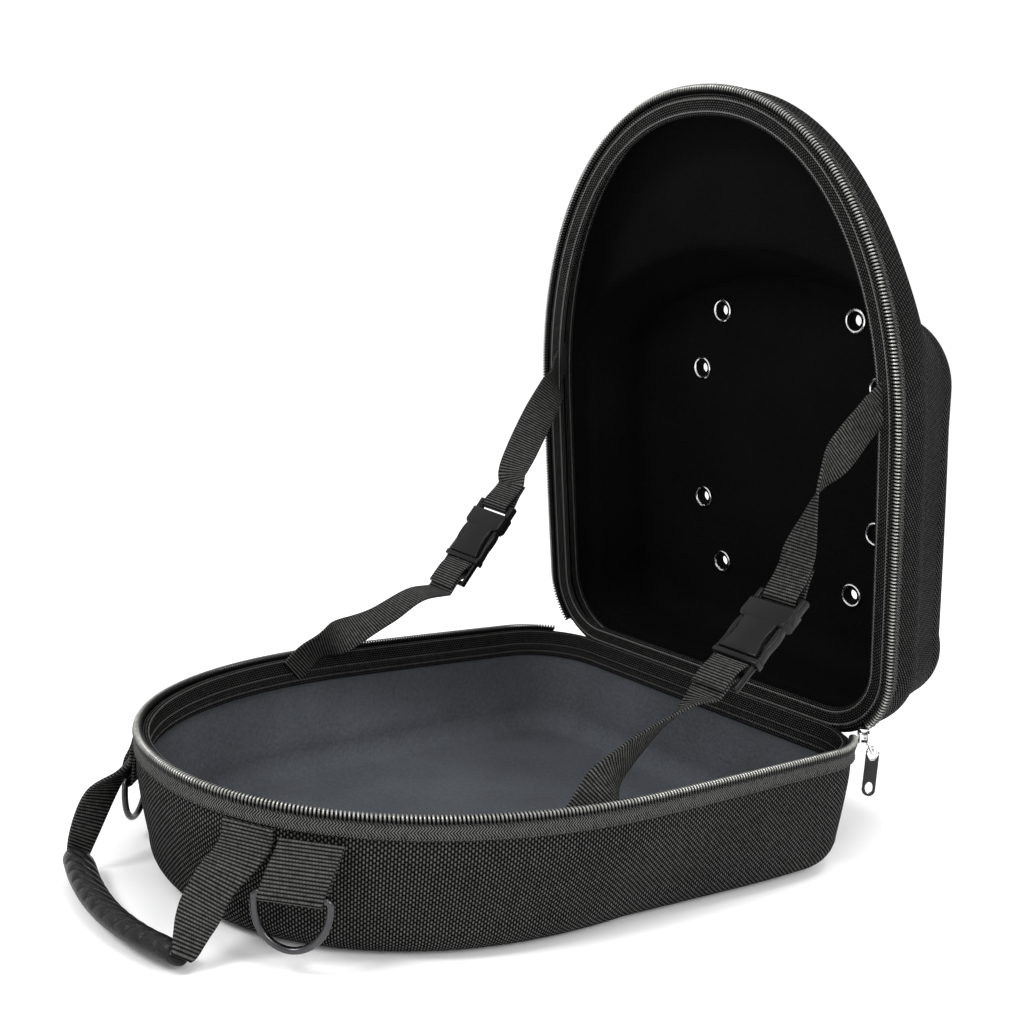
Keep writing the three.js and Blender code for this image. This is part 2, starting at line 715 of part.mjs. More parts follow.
const handleRow = (r) => v3(r.across * HALF, HINGE_Y - CASE_LENGTH - r.forward, GRIP_LOW + r.up);

function gripPoints() {
  return GRIP_ROUTE.map(handleRow);
}

// Width directions of the grip and of the webbing's middle
const GRIP_TILT = v3(0, 0.84, -0.54).normalize();
const HANDLE_MID_WIDE = [0.93, 0.3, -0.09];

function gripRoute(steps) {
  const points = gripPoints();
  return smooth(points, points.map(() => GRIP_TILT.clone()), steps);
}

function gripSection(width, thick) {
  const w = width / 2;
  const t = thick / 2;
  return [
    [-w, -t * 0.3], [-w * 0.75, -t], [w * 0.75, -t], [w, -t * 0.3],
    [w, t * 0.3], [w * 0.75, t], [-w * 0.75, t], [-w, t * 0.3],
  ];
}

function gripBody() {
  const route = gripRoute(GRIP_STEPS);
  const body = sweep(route, gripSection(GRIP_WIDTH, GRIP_THICK));
  const wide = HANDLE_NARROW + 4 * CLEARANCE;
  const pockets = [route.slice(0, 3), route.slice(-3)].map((ends, side) => {
    const end = side ? ends[2] : ends[0];
    const away = v3(0, 0, 0).subVectors(end.at, ends[1].at).normalize();
    const mouth = { at: end.at.clone().addScaledVector(away, 2), wide: end.wide };
    const floor = { at: end.at.clone().addScaledVector(away, -GRIP_POCKET), wide: end.wide };
    return sweep(side ? [floor, mouth] : [mouth, floor], flatSection(wide, HANDLE_THICK + 4 * CLEARANCE));
  });
  return cut(body, pockets);
}

function handleWebbing(sign) {
  const place = nosePlace(HANDLE_OUT, sign);
  const rise = (out, down) => place.at.clone().addScaledVector(place.outward, out).addScaledVector(v3(0, 0, -1), down);
  const route = gripRoute(GRIP_STEPS);
  const [end, inner] = sign > 0 ? [route[0], route[1]] : [route[GRIP_STEPS], route[GRIP_STEPS - 1]];
  const away = v3(0, 0, 0).subVectors(end.at, inner.at).normalize();
  const inside = end.at.clone().addScaledVector(away, -GRIP_POCKET + 3);
  const offset = TAPE_IN + HANDLE_THICK / 2 + HANDLE_SEAT;
  const points = [
    rise(offset, BAND_DEPTH + 1), rise(offset + 1.5, BAND_DEPTH + 8),
    ...HANDLE_BENDS[sign > 0 ? 'near' : 'far'].map(handleRow),
    end.at.clone().addScaledVector(away, 2.5), end.at.clone(), inside,
  ];
  const middleWide = v3(...HANDLE_MID_WIDE);
  middleWide.x *= sign;
  const late = middleWide.clone().lerp(GRIP_TILT, 0.6);
  const widths = [place.side, place.side, middleWide, late, GRIP_TILT, GRIP_TILT, GRIP_TILT];
  const steps = smooth(points, widths, 18);
  const rings = steps.map((row, i) => ({ ...row, width: lerp(HANDLE_WIDTH, HANDLE_NARROW, clamp((i - 3) / 8, 0, 1)) }));
  return taperSweep(rings, HANDLE_THICK);
}

// Flat strap whose width changes along its route
function taperSweep(route, thick) {
  const rings = route.map(({ at, wide, width }, i) => {
    const before = route[Math.max(i - 1, 0)].at;
    const after = route[Math.min(i + 1, route.length - 1)].at;
    const t = v3(0, 0, 0).subVectors(after, before).normalize();
    const n = v3(0, 0, 0).crossVectors(wide, t).normalize();
    const w = v3(0, 0, 0).crossVectors(t, n).normalize();
    return flatSection(width, thick).map(([a, b]) => at.clone().addScaledVector(w, a).addScaledVector(n, b));
  });
  return capped(rings, middle(rings[0]), middle(rings[rings.length - 1]), TOP_TURNED);
}

add('handle_grip', gripBody(), 'grip');
add('handle_webbing_near', handleWebbing(1), 'webbing');
add('handle_webbing_far', handleWebbing(-1), 'webbing');

// Stay straps with their buckles
// Routes hold shares: out of the half width, back of the length from the hinge, up of the length above the rim
const STAYS = {
  near: {
    sign: 1,
    top: { out: 0.868, back: 0.215, up: 0.236 },
    aim: { back: -0.735, up: -0.678, roll: 0.05 },
    fold: 23,
    upper: [
      { out: 0.903, back: 0.085, up: 0.495, wide: [0, -0.3, 1] },
      { out: 0.895, back: 0.14, up: 0.44, wide: [-0.1, -0.7, 0.6] },
      { out: 0.887, back: 0.172, up: 0.398, wide: [0.5, -0.8, 0.25] },
      { out: 0.88, back: 0.187, up: 0.345, wide: [0.85, -0.45, 0.1] },
      { out: 0.873, back: 0.197, up: 0.3, wide: [1, 0, -0.05] },
    ],
    lower: [
      { out: 0.865, back: 0.392, up: 0.095, wide: [1, 0, 0] },
      { out: 0.868, back: 0.455, up: 0.066, wide: [0.9, -0.5, 0] },
      { out: 0.89, back: 0.52, up: 0.036, wide: [0.4, -0.9, 0] },
    ],
  },
  far: {
    sign: -1,
    top: { out: 0.868, back: 0.2, up: 0.253 },
    aim: { back: -0.6, up: -0.8, roll: 0.24 },
    fold: 0,
    upper: [
      { out: 0.9, back: 0.086, up: 0.462, wide: [0, -0.3, 1] },
      { out: 0.9, back: 0.116, up: 0.408, wide: [0.2, -0.7, 0.6] },
      { out: 0.895, back: 0.148, up: 0.35, wide: [0.6, -0.6, 0.2] },
      { out: 0.885, back: 0.17, up: 0.31, wide: [0.9, -0.2, -0.1] },
    ],
    lower: [
      { out: 0.862, back: 0.375, up: 0.098, wide: [-1, 0, 0.1] },
      { out: 0.868, back: 0.44, up: 0.066, wide: [-0.9, -0.5, 0] },
      { out: 0.89, back: 0.51, up: 0.036, wide: [-0.4, -0.9, 0] },
    ],
  },
};
const STAY_ANCHOR_ALONG = 0.54;
const STAY_FOOT_ALONG = 0.575;
const STAY_SEAM = 8;
const STAY_BOW = 1.2;
// Sewn end of an upper stay: shift toward the middle and depth in the lid, in mm
const STAY_SEWN = [{ shift: 0.2, depth: STAY_SEAM }, { shift: 1.5, depth: 1 }, { shift: 4.2, depth: -5 }];
// Where a lower stay leaves its seam: shift toward the middle and rise
const STAY_LEAVE = { shift: 1.5, rise: 5 };

function routePoint(row, sign) {
  return v3(sign * row.out * HALF, HINGE_Y - row.back * CASE_LENGTH, BASE_DEPTH + row.up * CASE_LENGTH);
}

// Buckle frame: x across, y along from the socket's bar to the end bar, z through
function buckleFrame(stay) {
  const along = v3(0, stay.aim.back, stay.aim.up).normalize();
  const across = v3(1, 0, -stay.aim.roll);
  const through = v3(0, 0, 0).crossVectors(across, along).normalize();
  across.crossVectors(along, through).normalize();
  return new THREE.Matrix4().makeBasis(across, along, through).setPosition(routePoint(stay.top, stay.sign));
}

function extruded(outline, thick, holes = []) {
  const shape = new THREE.Shape(outline.map(([x, y]) => new THREE.Vector2(x, y)));
  for (const hole of holes) shape.holes.push(new THREE.Path(hole.map(([x, y]) => new THREE.Vector2(x, y))));
  return new THREE.ExtrudeGeometry(shape, { depth: thick, bevelEnabled: false }).translate(0, 0, -thick / 2);
}

const box = (x0, x1, y0, y1, thick) => extruded([[x0, y0], [x1, y0], [x1, y1], [x0, y1]], thick);
const mirrorX = (outline) => [...outline, ...outline.slice().reverse().map(([x, y]) => [-x, y])];

const SLOT_HALF = STRAP_WIDTH / 2 + 0.7;
const SOCKET_BODY = BAR + 4.5;
const BAND_END = 19;
const WAIST = [[9.9, 22.5], [9.2, 26], [9.6, 31], [10.8, 36]];
const ARM_IN = 10.6;
const ARM_OUT = 13.2;
const ARM_TIP = 12;
const ADJUSTER = { base: 42, slot: 45, bar: 48, end: BUCKLE_LENGTH - BAR };

function socketBody() {
  const h = BUCKLE_WIDTH / 2;
  const body = extruded(mirrorX([
    [h, SOCKET_BODY], [h, BAND_END], [ARM_IN - 2 * CLEARANCE, BAND_END], ...WAIST, [11.4, BUCKLE_SOCKET],
  ]), BUCKLE_THICK);
  const frame = extruded([[-h, 0], [h, 0], [h, SOCKET_BODY + 1], [-h, SOCKET_BODY + 1]], BAR, [
    [[-SLOT_HALF, BAR], [-SLOT_HALF, SOCKET_BODY], [SLOT_HALF, SOCKET_BODY], [SLOT_HALF, BAR]],
  ]);
  const pockets = [1, -1].map((s) => {
    const a = s * (ARM_IN - CLEARANCE);
    const b = s * (ARM_OUT + CLEARANCE);
    return box(Math.min(a, b), Math.max(a, b), ARM_TIP - CLEARANCE, BAND_END + 1, 4 + 2 * CLEARANCE);
  });
  return cut(join([body, frame]), pockets);
}

function prongBody() {
  const h = BUCKLE_WIDTH / 2 - 0.5;
  const arms = [1, -1].map((s) => extruded([
    [s * ARM_IN, ARM_TIP], [s * ARM_OUT, ARM_TIP], [s * ARM_OUT, BAND_END], [s * (ARM_OUT + 0.6), 24],
    [s * (ARM_OUT + 0.2), 31], [s * h, 37], [s * h, 41], [s * 11.9, 41], [s * 11.9, 37], [s * (ARM_IN + 0.2), 31],
    [s * ARM_IN, 22],
  ], 4));
  const base = box(-h, h, BUCKLE_SOCKET + CLEARANCE, ADJUSTER.base, BUCKLE_THICK - 1.5);
  const rail = SLOT_HALF + 1.8;
  const end = ADJUSTER.end;
  const low = ADJUSTER.base - 1;
  const frame = extruded([[-rail, low], [rail, low], [rail, BUCKLE_LENGTH], [-rail, BUCKLE_LENGTH]], 2.6, [
    [[-SLOT_HALF, ADJUSTER.base], [-SLOT_HALF, ADJUSTER.slot], [SLOT_HALF, ADJUSTER.slot], [SLOT_HALF, ADJUSTER.base]],
    [[-SLOT_HALF, ADJUSTER.bar], [-SLOT_HALF, end], [SLOT_HALF, end], [SLOT_HALF, ADJUSTER.bar]],
  ]);
  return join([base, frame, ...arms]);
}

// Strap routes near the buckle, in its own frame, as along and through
const WRAP = BAR * Math.SQRT1_2 + CLEARANCE + STRAP_THICK / 2;
const UPPER_END = [[-15, -1], [-9, -1.3], [-4, -2.3], [-1, -2.9]];
const UPPER_FOLD = [[-1, 2.9], [-4, 2.3], [-9, 1.3], [-16, 1]];
const LOWER_LOOP = [
  [66, -2.4], [61.5, -2.6], [56.5, -2.6], [54.2, -1.8], [51.5, 0.6], [49, 2.1], [46.5, 2.5], [44.2, 2.1], [43.4, 0.4],
  [44, -1.6], [46.5, -2.9], [50, -4.2], [56, -4.7], [63, -4.8],
];

function localRoute(frame, rows) {
  const wide = v3(1, 0, 0).transformDirection(frame);
  return rows.map(([along, through]) => ({ at: v3(0, along, through).applyMatrix4(frame), wide }));
}

function wrapTurn() {
  const rows = [];
  for (let k = 0; k <= 4; k++) {
    const a = (-90 + 45 * k) * RAD;
    rows.push([BAR / 2 + WRAP * Math.cos(a), WRAP * Math.sin(a)]);
  }
  return rows;
}

// Turn a place round the socket's bar
function tiltRow([along, through], degrees) {
  const c = Math.cos(degrees * RAD);
  const s = Math.sin(degrees * RAD);
  const a = along - BAR / 2;
  return [BAR / 2 + a * c - through * s, a * s + through * c];
}

function wideOf(row) {
  return v3(...row.wide).normalize();
}

// Half width of the outline at a place y
function halfWidth(y) {
  if (y > -WIDEST_FROM_HINGE) return sideX(y);
  const share = clamp((-y - WIDEST_FROM_HINGE) / (CASE_LENGTH - WIDEST_FROM_HINGE), 0, 1);
  return HALF * (1 - share ** NOSE_EXPONENT) ** (1 / NOSE_EXPONENT);
}

// Where a stay is sewn: on the inner tape of lid and base, its width along the rim
function stayAnchor(along, sign) {
  const y = -along * CASE_LENGTH;
  const reach = STRAP_WIDTH / 2;
  const wide = v3(halfWidth(y - reach) - halfWidth(y + reach), -2 * reach, 0).normalize();
  const seat = -INNER_END + CLEARANCE + STRAP_THICK / 2 + STAY_BOW;
  const at = v3(halfWidth(y), y, 0).addScaledVector(v3(wide.y, -wide.x, 0), seat);
  at.x *= sign;
  wide.x *= sign;
  return { at, wide };
}

function upperStrap(stay, frame) {
  const anchor = stayAnchor(STAY_ANCHOR_ALONG, stay.sign);
  const sewn = STAY_SEWN.map((row) => anchor.at.clone().add(v3(-stay.sign * row.shift, 0, row.depth)).applyMatrix4(lidFrame));
  const lidWide = anchor.wide.clone().transformDirection(lidFrame);
  const tilted = (rows) => localRoute(frame, rows.map((row) => tiltRow(row, stay.fold)));
  const local = tilted(UPPER_END);
  const acrossStart = local[0].wide.clone();
  const points = [...sewn, ...stay.upper.map((r) => routePoint(r, stay.sign)), local[0].at];
  const widths = [...sewn.map(() => lidWide.clone()), ...stay.upper.map(wideOf), acrossStart];
  const free = smooth(points, widths, 16);
  const turned = tilted([...UPPER_END.slice(1), ...wrapTurn(), ...UPPER_FOLD]);
  turned.forEach((row) => row.wide = acrossStart);
  return sweep([...free, ...turned], flatSection(STRAP_WIDTH, STRAP_THICK));
}

function lowerStrap(stay, frame) {
  const anchor = stayAnchor(STAY_FOOT_ALONG, stay.sign);
  const seam = anchor.at.clone().applyMatrix4(baseFrame);
  const foot = seam.clone().add(v3(0, 0, -STAY_SEAM));
  const local = localRoute(frame, LOWER_LOOP);
  const start = local[0].wide.clone().multiplyScalar(stay.sign);
  const leave = seam.clone().add(v3(-stay.sign * STAY_LEAVE.shift, 0, STAY_LEAVE.rise));
  const rows = stay.lower.slice().reverse();
  const points = [foot, leave, ...rows.map((r) => routePoint(r, stay.sign)), local[0].at];
  const widths = [anchor.wide, anchor.wide.clone(), ...rows.map(wideOf), start];
  const free = smooth(points, widths, 14);
  local.forEach((row) => row.wide = start);
  return sweep([...free, ...local.slice(1)], flatSection(STRAP_WIDTH, STRAP_THICK));
}

for (const { name } of SIDES) {
  const stay = { ...STAYS[name], name };
  const frame = buckleFrame(stay);
  add(`stay_strap_upper_${name}`, upperStrap(stay, frame), 'webbing');
  add(`stay_strap_lower_${name}`, lowerStrap(stay, frame), 'webbing');
  add(`buckle_socket_${name}`, socketBody().applyMatrix4(frame), 'plastic');
  add(`buckle_prong_${name}`, prongBody().applyMatrix4(frame), 'plastic');
}

// Zip slider at the near hinge corner and its pull, hanging from the bridge
const SLIDER_LENGTH = 9;
const SLIDER_WIDTH = 8;
const SLIDER_THICK = 5.5;
const SLIDER_OFF = 5.3;
const SLIDER_RISE = 1.6;
const SLIDER_TURN = 45;
const BRIDGE_WIRE = 1.6;
const BRIDGE_OUT = 5.6;
const BRIDGE_DOWN = 7;
const PULL_WIDTH = 7;
const PULL_LENGTH = 27;
const PULL_HEAD = 2.4;
const PULL_THICK = 1.6;

function sliderBody() {
  const half = SLIDER_WIDTH / 2;
  const plates = extruded([
    [-SLIDER_LENGTH / 2, -half * 0.6], [0, -half], [SLIDER_LENGTH / 2, -half],
    [SLIDER_LENGTH / 2, half], [0, half], [-SLIDER_LENGTH / 2, half * 0.6],
  ], SLIDER_THICK);
  const face = SLIDER_THICK / 2 - 0.4;
  const turned = new THREE.Matrix4().makeBasis(v3(0, 1, 0), v3(0, 0, 1), v3(1, 0, 0));
  const leg = (x) => extruded([
    [-half + 2, face], [-half, face], [-BRIDGE_DOWN - 0.9, BRIDGE_OUT - 0.9],
    [-BRIDGE_DOWN - 0.9, BRIDGE_OUT + 0.9], [-BRIDGE_DOWN + 0.9, BRIDGE_OUT + 0.9],
  ], BRIDGE_WIRE).applyMatrix4(turned).translate(x, 0, 0);
  const reach = SLIDER_LENGTH / 2 - 1.2;
  const bar = new THREE.CylinderGeometry(BRIDGE_WIRE / 2, BRIDGE_WIRE / 2, 2 * reach, 8)
    .rotateZ(Math.PI / 2).translate(0, -BRIDGE_DOWN, BRIDGE_OUT);
  return join([plates, leg(-reach), leg(reach), bar]);
}

// Pull: rounded head round the bridge, window, and an oval hole at the low end
function pullBody() {
  const half = PULL_WIDTH / 2;
  const outline = [];
  for (let k = 0; k <= 8; k++) {
    const a = (k / 8) * Math.PI;
    outline.push([half * Math.cos(a), PULL_HEAD - half + half * Math.sin(a)]);
  }
  const low = PULL_HEAD + half - PULL_LENGTH;
  for (let k = 0; k <= 8; k++) {
    const a = Math.PI + (k / 8) * Math.PI;
    outline.push([half * Math.cos(a), low + half * Math.sin(a)]);
  }
  const w = BRIDGE_WIRE / 2 + CLEARANCE;
  const window = [[w + 0.5, -4.6], [-w - 0.5, -4.6], [-w - 0.5, 0], [-w, w], [w, w], [w + 0.5, 0]];
  const oval = [];
  for (let k = 0; k < 12; k++) {
    const a = -(k / 12) * Math.PI * 2;
    oval.push([1.9 * Math.cos(a), low + 1.2 + 3 * Math.sin(a)]);
  }
  return extruded(outline, PULL_THICK, [window, oval]);
}

function sliderFrames() {
  const turn = SLIDER_TURN * RAD;
  const travel = v3(Math.sin(turn), -Math.cos(turn), 0);
  const outward = v3(Math.cos(turn), Math.sin(turn), 0);
  const up = v3(0, 0, 1);
  const centre = v3(BACK_X, HINGE_Y - HINGE_CORNER, BASE_DEPTH + SLIDER_RISE);
  const at = centre.addScaledVector(outward, HINGE_CORNER + SLIDER_OFF);
  const slider = new THREE.Matrix4().makeBasis(travel.clone().negate(), up, outward).setPosition(at);
  const bar = v3(0, -BRIDGE_DOWN, BRIDGE_OUT).applyMatrix4(slider);
  const pull = new THREE.Matrix4().makeBasis(outward, up, v3(0, 0, 0).crossVectors(outward, up)).setPosition(bar);
  return { slider, pull };
}

const sliderPlaces = sliderFrames();
add('zip_slider', sliderBody().applyMatrix4(sliderPlaces.slider), 'steel');
add('zip_pull', pullBody().applyMatrix4(sliderPlaces.pull), 'pull');

export default part;
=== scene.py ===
"""Open hat travel case: moulded cloth shells, zip, stay straps, carry handle and D-rings."""

import math

import bmesh
import bpy
import numpy as np
from bpy.props import FloatProperty, FloatVectorProperty, IntProperty, PointerProperty
from mathutils import Matrix, Vector


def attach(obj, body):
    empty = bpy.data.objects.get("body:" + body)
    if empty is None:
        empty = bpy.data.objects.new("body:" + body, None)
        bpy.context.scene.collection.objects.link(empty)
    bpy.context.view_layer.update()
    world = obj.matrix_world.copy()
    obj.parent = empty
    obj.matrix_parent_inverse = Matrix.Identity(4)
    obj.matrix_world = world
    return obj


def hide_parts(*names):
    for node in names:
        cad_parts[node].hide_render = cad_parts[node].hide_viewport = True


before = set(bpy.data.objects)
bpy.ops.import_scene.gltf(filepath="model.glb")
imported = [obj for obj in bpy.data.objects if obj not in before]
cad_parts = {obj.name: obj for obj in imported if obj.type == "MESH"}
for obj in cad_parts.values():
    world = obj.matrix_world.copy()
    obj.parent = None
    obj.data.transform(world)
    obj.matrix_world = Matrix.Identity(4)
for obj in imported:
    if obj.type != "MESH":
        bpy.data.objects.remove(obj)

bl_info = {
    "name": "Hat Travel Case",
    "version": (1, 0, 0),
    "blender": (4, 5, 0),
    "location": "3D View > Sidebar > Hat Case",
    "description": "Builds an open hat travel case with its zip, straps, handle and fittings",
    "category": "Add Mesh",
}

MM = 0.001

# Case outline at the zip line, in millimetres
CASE_LENGTH = 340.0
HALF = 136.0
SIDE_BOW = 2.5
WIDEST = 160.0
HINGE_CORNER = 43.0
NOSE_EXPONENT = 2.13
BACK_STEPS = 10
CORNER_STEPS = 16
SIDE_STEPS = 14
NOSE_STEPS = 56
ZIP_END_DEGREES = 45.0

# Shell, lining and rim bands
SHELL_WALL = 2.6
LINING_OUT = 2.9
LINING_IN = 3.7
RIM_TOP = 2.7
BAND_DEPTH = 11.0
BINDING_LOW = 17.0
TEETH_HALF = 1.9

# Base half
BASE_DEPTH = 68.5
FLOOR_RADIUS = 17.8
FLOOR_START = BASE_DEPTH - FLOOR_RADIUS
WALL_ROWS = (RIM_TOP, 7, 11, 14, 17, 20, 24, 29, 35, 41, 46)
DRAFT_POWER = 1.25
DRAFT_ALONG = (0.0, 0.206, 0.47, 0.735, 1.0)
DRAFT_INSET = (0.064, 0.116, 0.295, 0.2, 0.164)

# Lid half
LID_DEPTH = 77.0
LID_OPEN_DEGREES = 81.9
LID_DROP = 6.65
LID_SETBACK = 1.0
BRIM_START = 20.0
BRIM_MIX = (0.0, 0.22, 0.55, 1.0)
BRIM_DEPTH = (0.26, 0.331, 0.383, 0.409)
CROWN_CORNER = 40.0
CROWN_SIDE_RADIUS = 20.0
CROWN_FRONT_RADIUS = 12.0
CROWN_FOOT = {"side": 0.105, "back": 0.02, "front": 0.762, "bend": 215.0}
CROWN_WALL = {"side": 0.2, "back": 0.05, "front": 0.706, "bend": 207.0}

# Eyelets: share of the half width, share of the length
EYELETS = ((0.374, 0.624), (0.503, 0.515), (0.5, 0.269), (0.381, 0.151))
EYELET_HOLE = 3.3
EYELET_FLANGE = 7.1
# Faces of an eyelet closer than this to its centre take matte black as painted shade in the throat
EYELET_PAINTED_SHADE_RADIUS = 5.5
# Rolled rim of an eyelet: radius and height above the cloth
EYELET_PROFILE = (
    (EYELET_HOLE, -0.3), (4.1, 0.3), (5.0, 0.6), (5.5, 0.9), (5.7, 1.3), (6.3, 1.5), (6.9, 1.2),
    (EYELET_FLANGE, 0.5), (EYELET_FLANGE, 0.0),
)

# Webbing, rings and handle; GAP is left between parts that are sewn or folded on each other
GAP = 0.3
STRAP_WIDTH = 20.0
STRAP_THICK = 1.4
TAB_WIDTH = 28.0
TAB_THICK = 1.6
TAB_DROP = 23.0
TAB_SLANT = 0.24
TAB_STAND = {"near": 0.48, "far": 0.15}
TAB_OUT = 0.6
TAB_SEAT = 0.55
RING_WIRE = 3.2
RING_DROP = 25.0
HANDLE_WIDTH = 25.0
HANDLE_THICK = 1.8
HANDLE_OUT = 0.425
HANDLE_SEAT = 0.45
HANDLE_NARROW = 11.2
GRIP_WIDTH = 15.5
GRIP_THICK = 10.0
GRIP_POCKET = 10.0
PLEAT_DEPTH = 2.6
GRIP_LOW = GRIP_THICK / 2 + 3
GRIP_TILT = (0.0, 0.84, -0.54)
HANDLE_MID_WIDE = {"near": (0.93, 0.3, -0.09), "far": (-0.45, 0.8, -0.3)}
# Share of the half width, mm past the nose, mm above the grip's low line
GRIP_ROUTE = ((0.44, 17, 1), (0.26, 23.5, 0.4), (0.05, 26, 0), (-0.16, 23.5, 0.4), (-0.36, 17.5, 1))
HANDLE_BENDS = {
    "near": ((0.415, 1, 26), (0.425, 9.5, 11)),
    "far": ((-0.4, 4, 30), (-0.38, 13, 14)),
}

# Buckle, along its own length
BUCKLE_HALF = 14.5
BUCKLE_SOCKET = 39.0
BUCKLE_LENGTH = 58.0
BUCKLE_THICK = 8.0
BAR = 3.0
SLOT_HALF = 10.7
SOCKET_BODY = 7.5
BAND_END = 19.0
ARM_IN = 10.6
ARM_OUT = 13.2

# Stay straps: share of the half width, of the length back from the hinge, of the length above the rim;
# sewn ends as mm inward from the inner tape, up the lid and into the lid
STAYS = {
    "near": {
        "sign": 1,
        "top": (0.868, 0.215, 0.236),
        "aim": (-0.735, -0.678, 0.05),
        "fold": 23.0,
        "sewn": ((-2.8, 9.0, 13.0), (1.0, 1.8, 4.2), (3.0, -2.6, -0.5)),
        "upper": (
            ((0.903, 0.085, 0.495), (0, -0.3, 1)),
            ((0.895, 0.14, 0.44), (-0.1, -0.7, 0.6)),
            ((0.887, 0.172, 0.398), (0.5, -0.8, 0.25)),
            ((0.88, 0.187, 0.345), (0.85, -0.45, 0.1)),
            ((0.873, 0.197, 0.3), (1, 0, -0.05)),
        ),
        "lower": (
            ((0.89, 0.52, 0.036), (0.25, -0.5, 0.8)),
            ((0.868, 0.455, 0.066), (0.6, -0.4, 0.68)),
            ((0.865, 0.392, 0.095), (0.88, -0.2, 0.44)),
        ),
    },
    "far": {
        "sign": -1,
        "top": (0.868, 0.2, 0.253),
        "aim": (-0.6, -0.8, 0.24),
        "fold": 0.0,
        "sewn": ((-2.8, 6.0, 13.0), (1.0, -3.6, 3.4), (3.0, -10.8, -2.0)),
        "upper": (
            ((0.9, 0.086, 0.462), (0.1, 0.75, -0.6)),
            ((0.9, 0.116, 0.408), (0.5, 0.7, -0.5)),
            ((0.895, 0.148, 0.35), (0.75, 0.55, -0.35)),
            ((0.885, 0.17, 0.31), (0.95, 0.25, -0.28)),
        ),
        "lower": (
            ((0.89, 0.51, 0.036), (-0.4, -0.9, 0)),
            ((0.868, 0.44, 0.066), (-0.9, -0.5, 0)),
            ((0.862, 0.375, 0.098), (-1, 0, 0.1)),
        ),
    },
}
STAY_TOP_ALONG = 0.54
STAY_FOOT_ALONG = 0.575
STAY_FOOT = (-9.0, -8.0)
STAY_SEAT = 5.3 + GAP + STRAP_THICK / 2 + 1.2
UPPER_END = ((-15, -1), (-9, -1.3), (-4, -2.3), (-1, -2.9))
UPPER_FOLD = ((-1, 2.9), (-4, 2.3), (-9, 1.3), (-16, 1))
LOWER_LOOP = (
    (66, -2.4), (61.5, -2.6), (56.5, -2.6), (54.2, -1.8), (51.5, 0.6), (49, 2.1), (46.5, 2.5), (44.2, 2.1),
    (43.4, 0.4), (44, -1.6), (46.5, -2.9), (50, -4.2), (56, -4.7), (63, -4.8),
)

# Slider and pull
SLIDER_LENGTH = 9.0
SLIDER_WIDTH = 8.0
SLIDER_THICK = 5.5
SLIDER_OFF = 5.3
SLIDER_RISE = 1.6
SLIDER_TURN = 45.0
BRIDGE_WIRE = 1.6
BRIDGE_OUT = 5.6
BRIDGE_DOWN = 7.0
PULL_WIDTH = 7.0
PULL_LENGTH = 27.0
PULL_HEAD = 2.4
PULL_THICK = 1.6
TOOTH_CREST = 4.6
TOOTH_RADIUS = 0.46
STITCH_STEP = 1.05

# Camera, as found from the photo's rims
CAMERA_PLACE = (0.5486, -0.4203, 0.2864)
CAMERA_ANGLES = (51.38, 9.16, 4.15)
CAMERA_LENS = 48.68

# Faces that meet at more than this stay sharp
SHARP = math.radians(42)
EYELET_BORE = 4.9
WARP_PITCH = 0.0014
HERRING_PITCH = 0.00135
HERRING_ROW = 0.0021
LENGTH = {"unit": "LENGTH"}
COLOUR = {"subtype": "COLOR", "size": 3, "min": 0, "max": 1}


class HatCaseSizes(bpy.types.PropertyGroup):
    """Sizes of the case's cloth, zip and webbing detail"""

    tooth_pitch: FloatProperty(
        name="Tooth Pitch", description="Distance between zip teeth", default=0.0018, **LENGTH,
    )
    stitch_pitch: FloatProperty(
        name="Stitch Pitch", description="Distance between stitches", default=0.0034, **LENGTH,
    )
    weave_pitch: FloatProperty(
        name="Weave Pitch", description="Distance between the shell cloth's columns",
        default=0.00138, **LENGTH,
    )
    rib_pitch: FloatProperty(
        name="Rib Pitch", description="Distance between the ribs of the webbing", default=0.0016, **LENGTH,
    )
    pleats: IntProperty(
        name="Pleats", description="Number of pleats along the grip", default=24, min=4, max=60,
    )


class HatCaseColours(bpy.types.PropertyGroup):
    """Colours of the case's finishes"""

    shell: FloatVectorProperty(
        name="Shell", description="Cloth of the moulded shells", default=(0.022, 0.022, 0.0215), **COLOUR,
    )
    lining: FloatVectorProperty(
        name="Lining", description="Brushed lining of the base", default=(0.05, 0.054, 0.061), **COLOUR,
    )
    # The lid's lining is the same cloth as the base's; its much darker colour is painted shade
    lid_lining: FloatVectorProperty(
        name="Lid Lining", description="Brushed lining of the lid", default=(0.003, 0.003, 0.0032), **COLOUR,
    )
    tape: FloatVectorProperty(
        name="Tape", description="Zip tapes and bindings", default=(0.024, 0.024, 0.0233), **COLOUR,
    )
    webbing: FloatVectorProperty(
        name="Webbing", description="Straps, tabs and handle ends", default=(0.017, 0.017, 0.0165), **COLOUR,
    )
    plastic: FloatVectorProperty(
        name="Plastic", description="Buckles", default=(0.006, 0.006, 0.006), **COLOUR,
    )
    grip: FloatVectorProperty(
        name="Grip", description="Coated cloth of the grip", default=(0.008, 0.008, 0.008), **COLOUR,
    )
    floor: FloatVectorProperty(name="Floor", description="Studio floor", default=(0.98, 0.98, 0.98), **COLOUR)


# Outline of the case


def side_x(y):
    return HALF - SIDE_BOW * ((y + WIDEST) / WIDEST) ** 2


BACK_X = side_x(-HINGE_CORNER) - HINGE_CORNER


def nose_point(share):
    a = share * math.pi / 2
    power = 2 / NOSE_EXPONENT
    return HALF * max(math.cos(a), 0) ** power, -WIDEST - (CASE_LENGTH - WIDEST) * math.sin(a) ** power


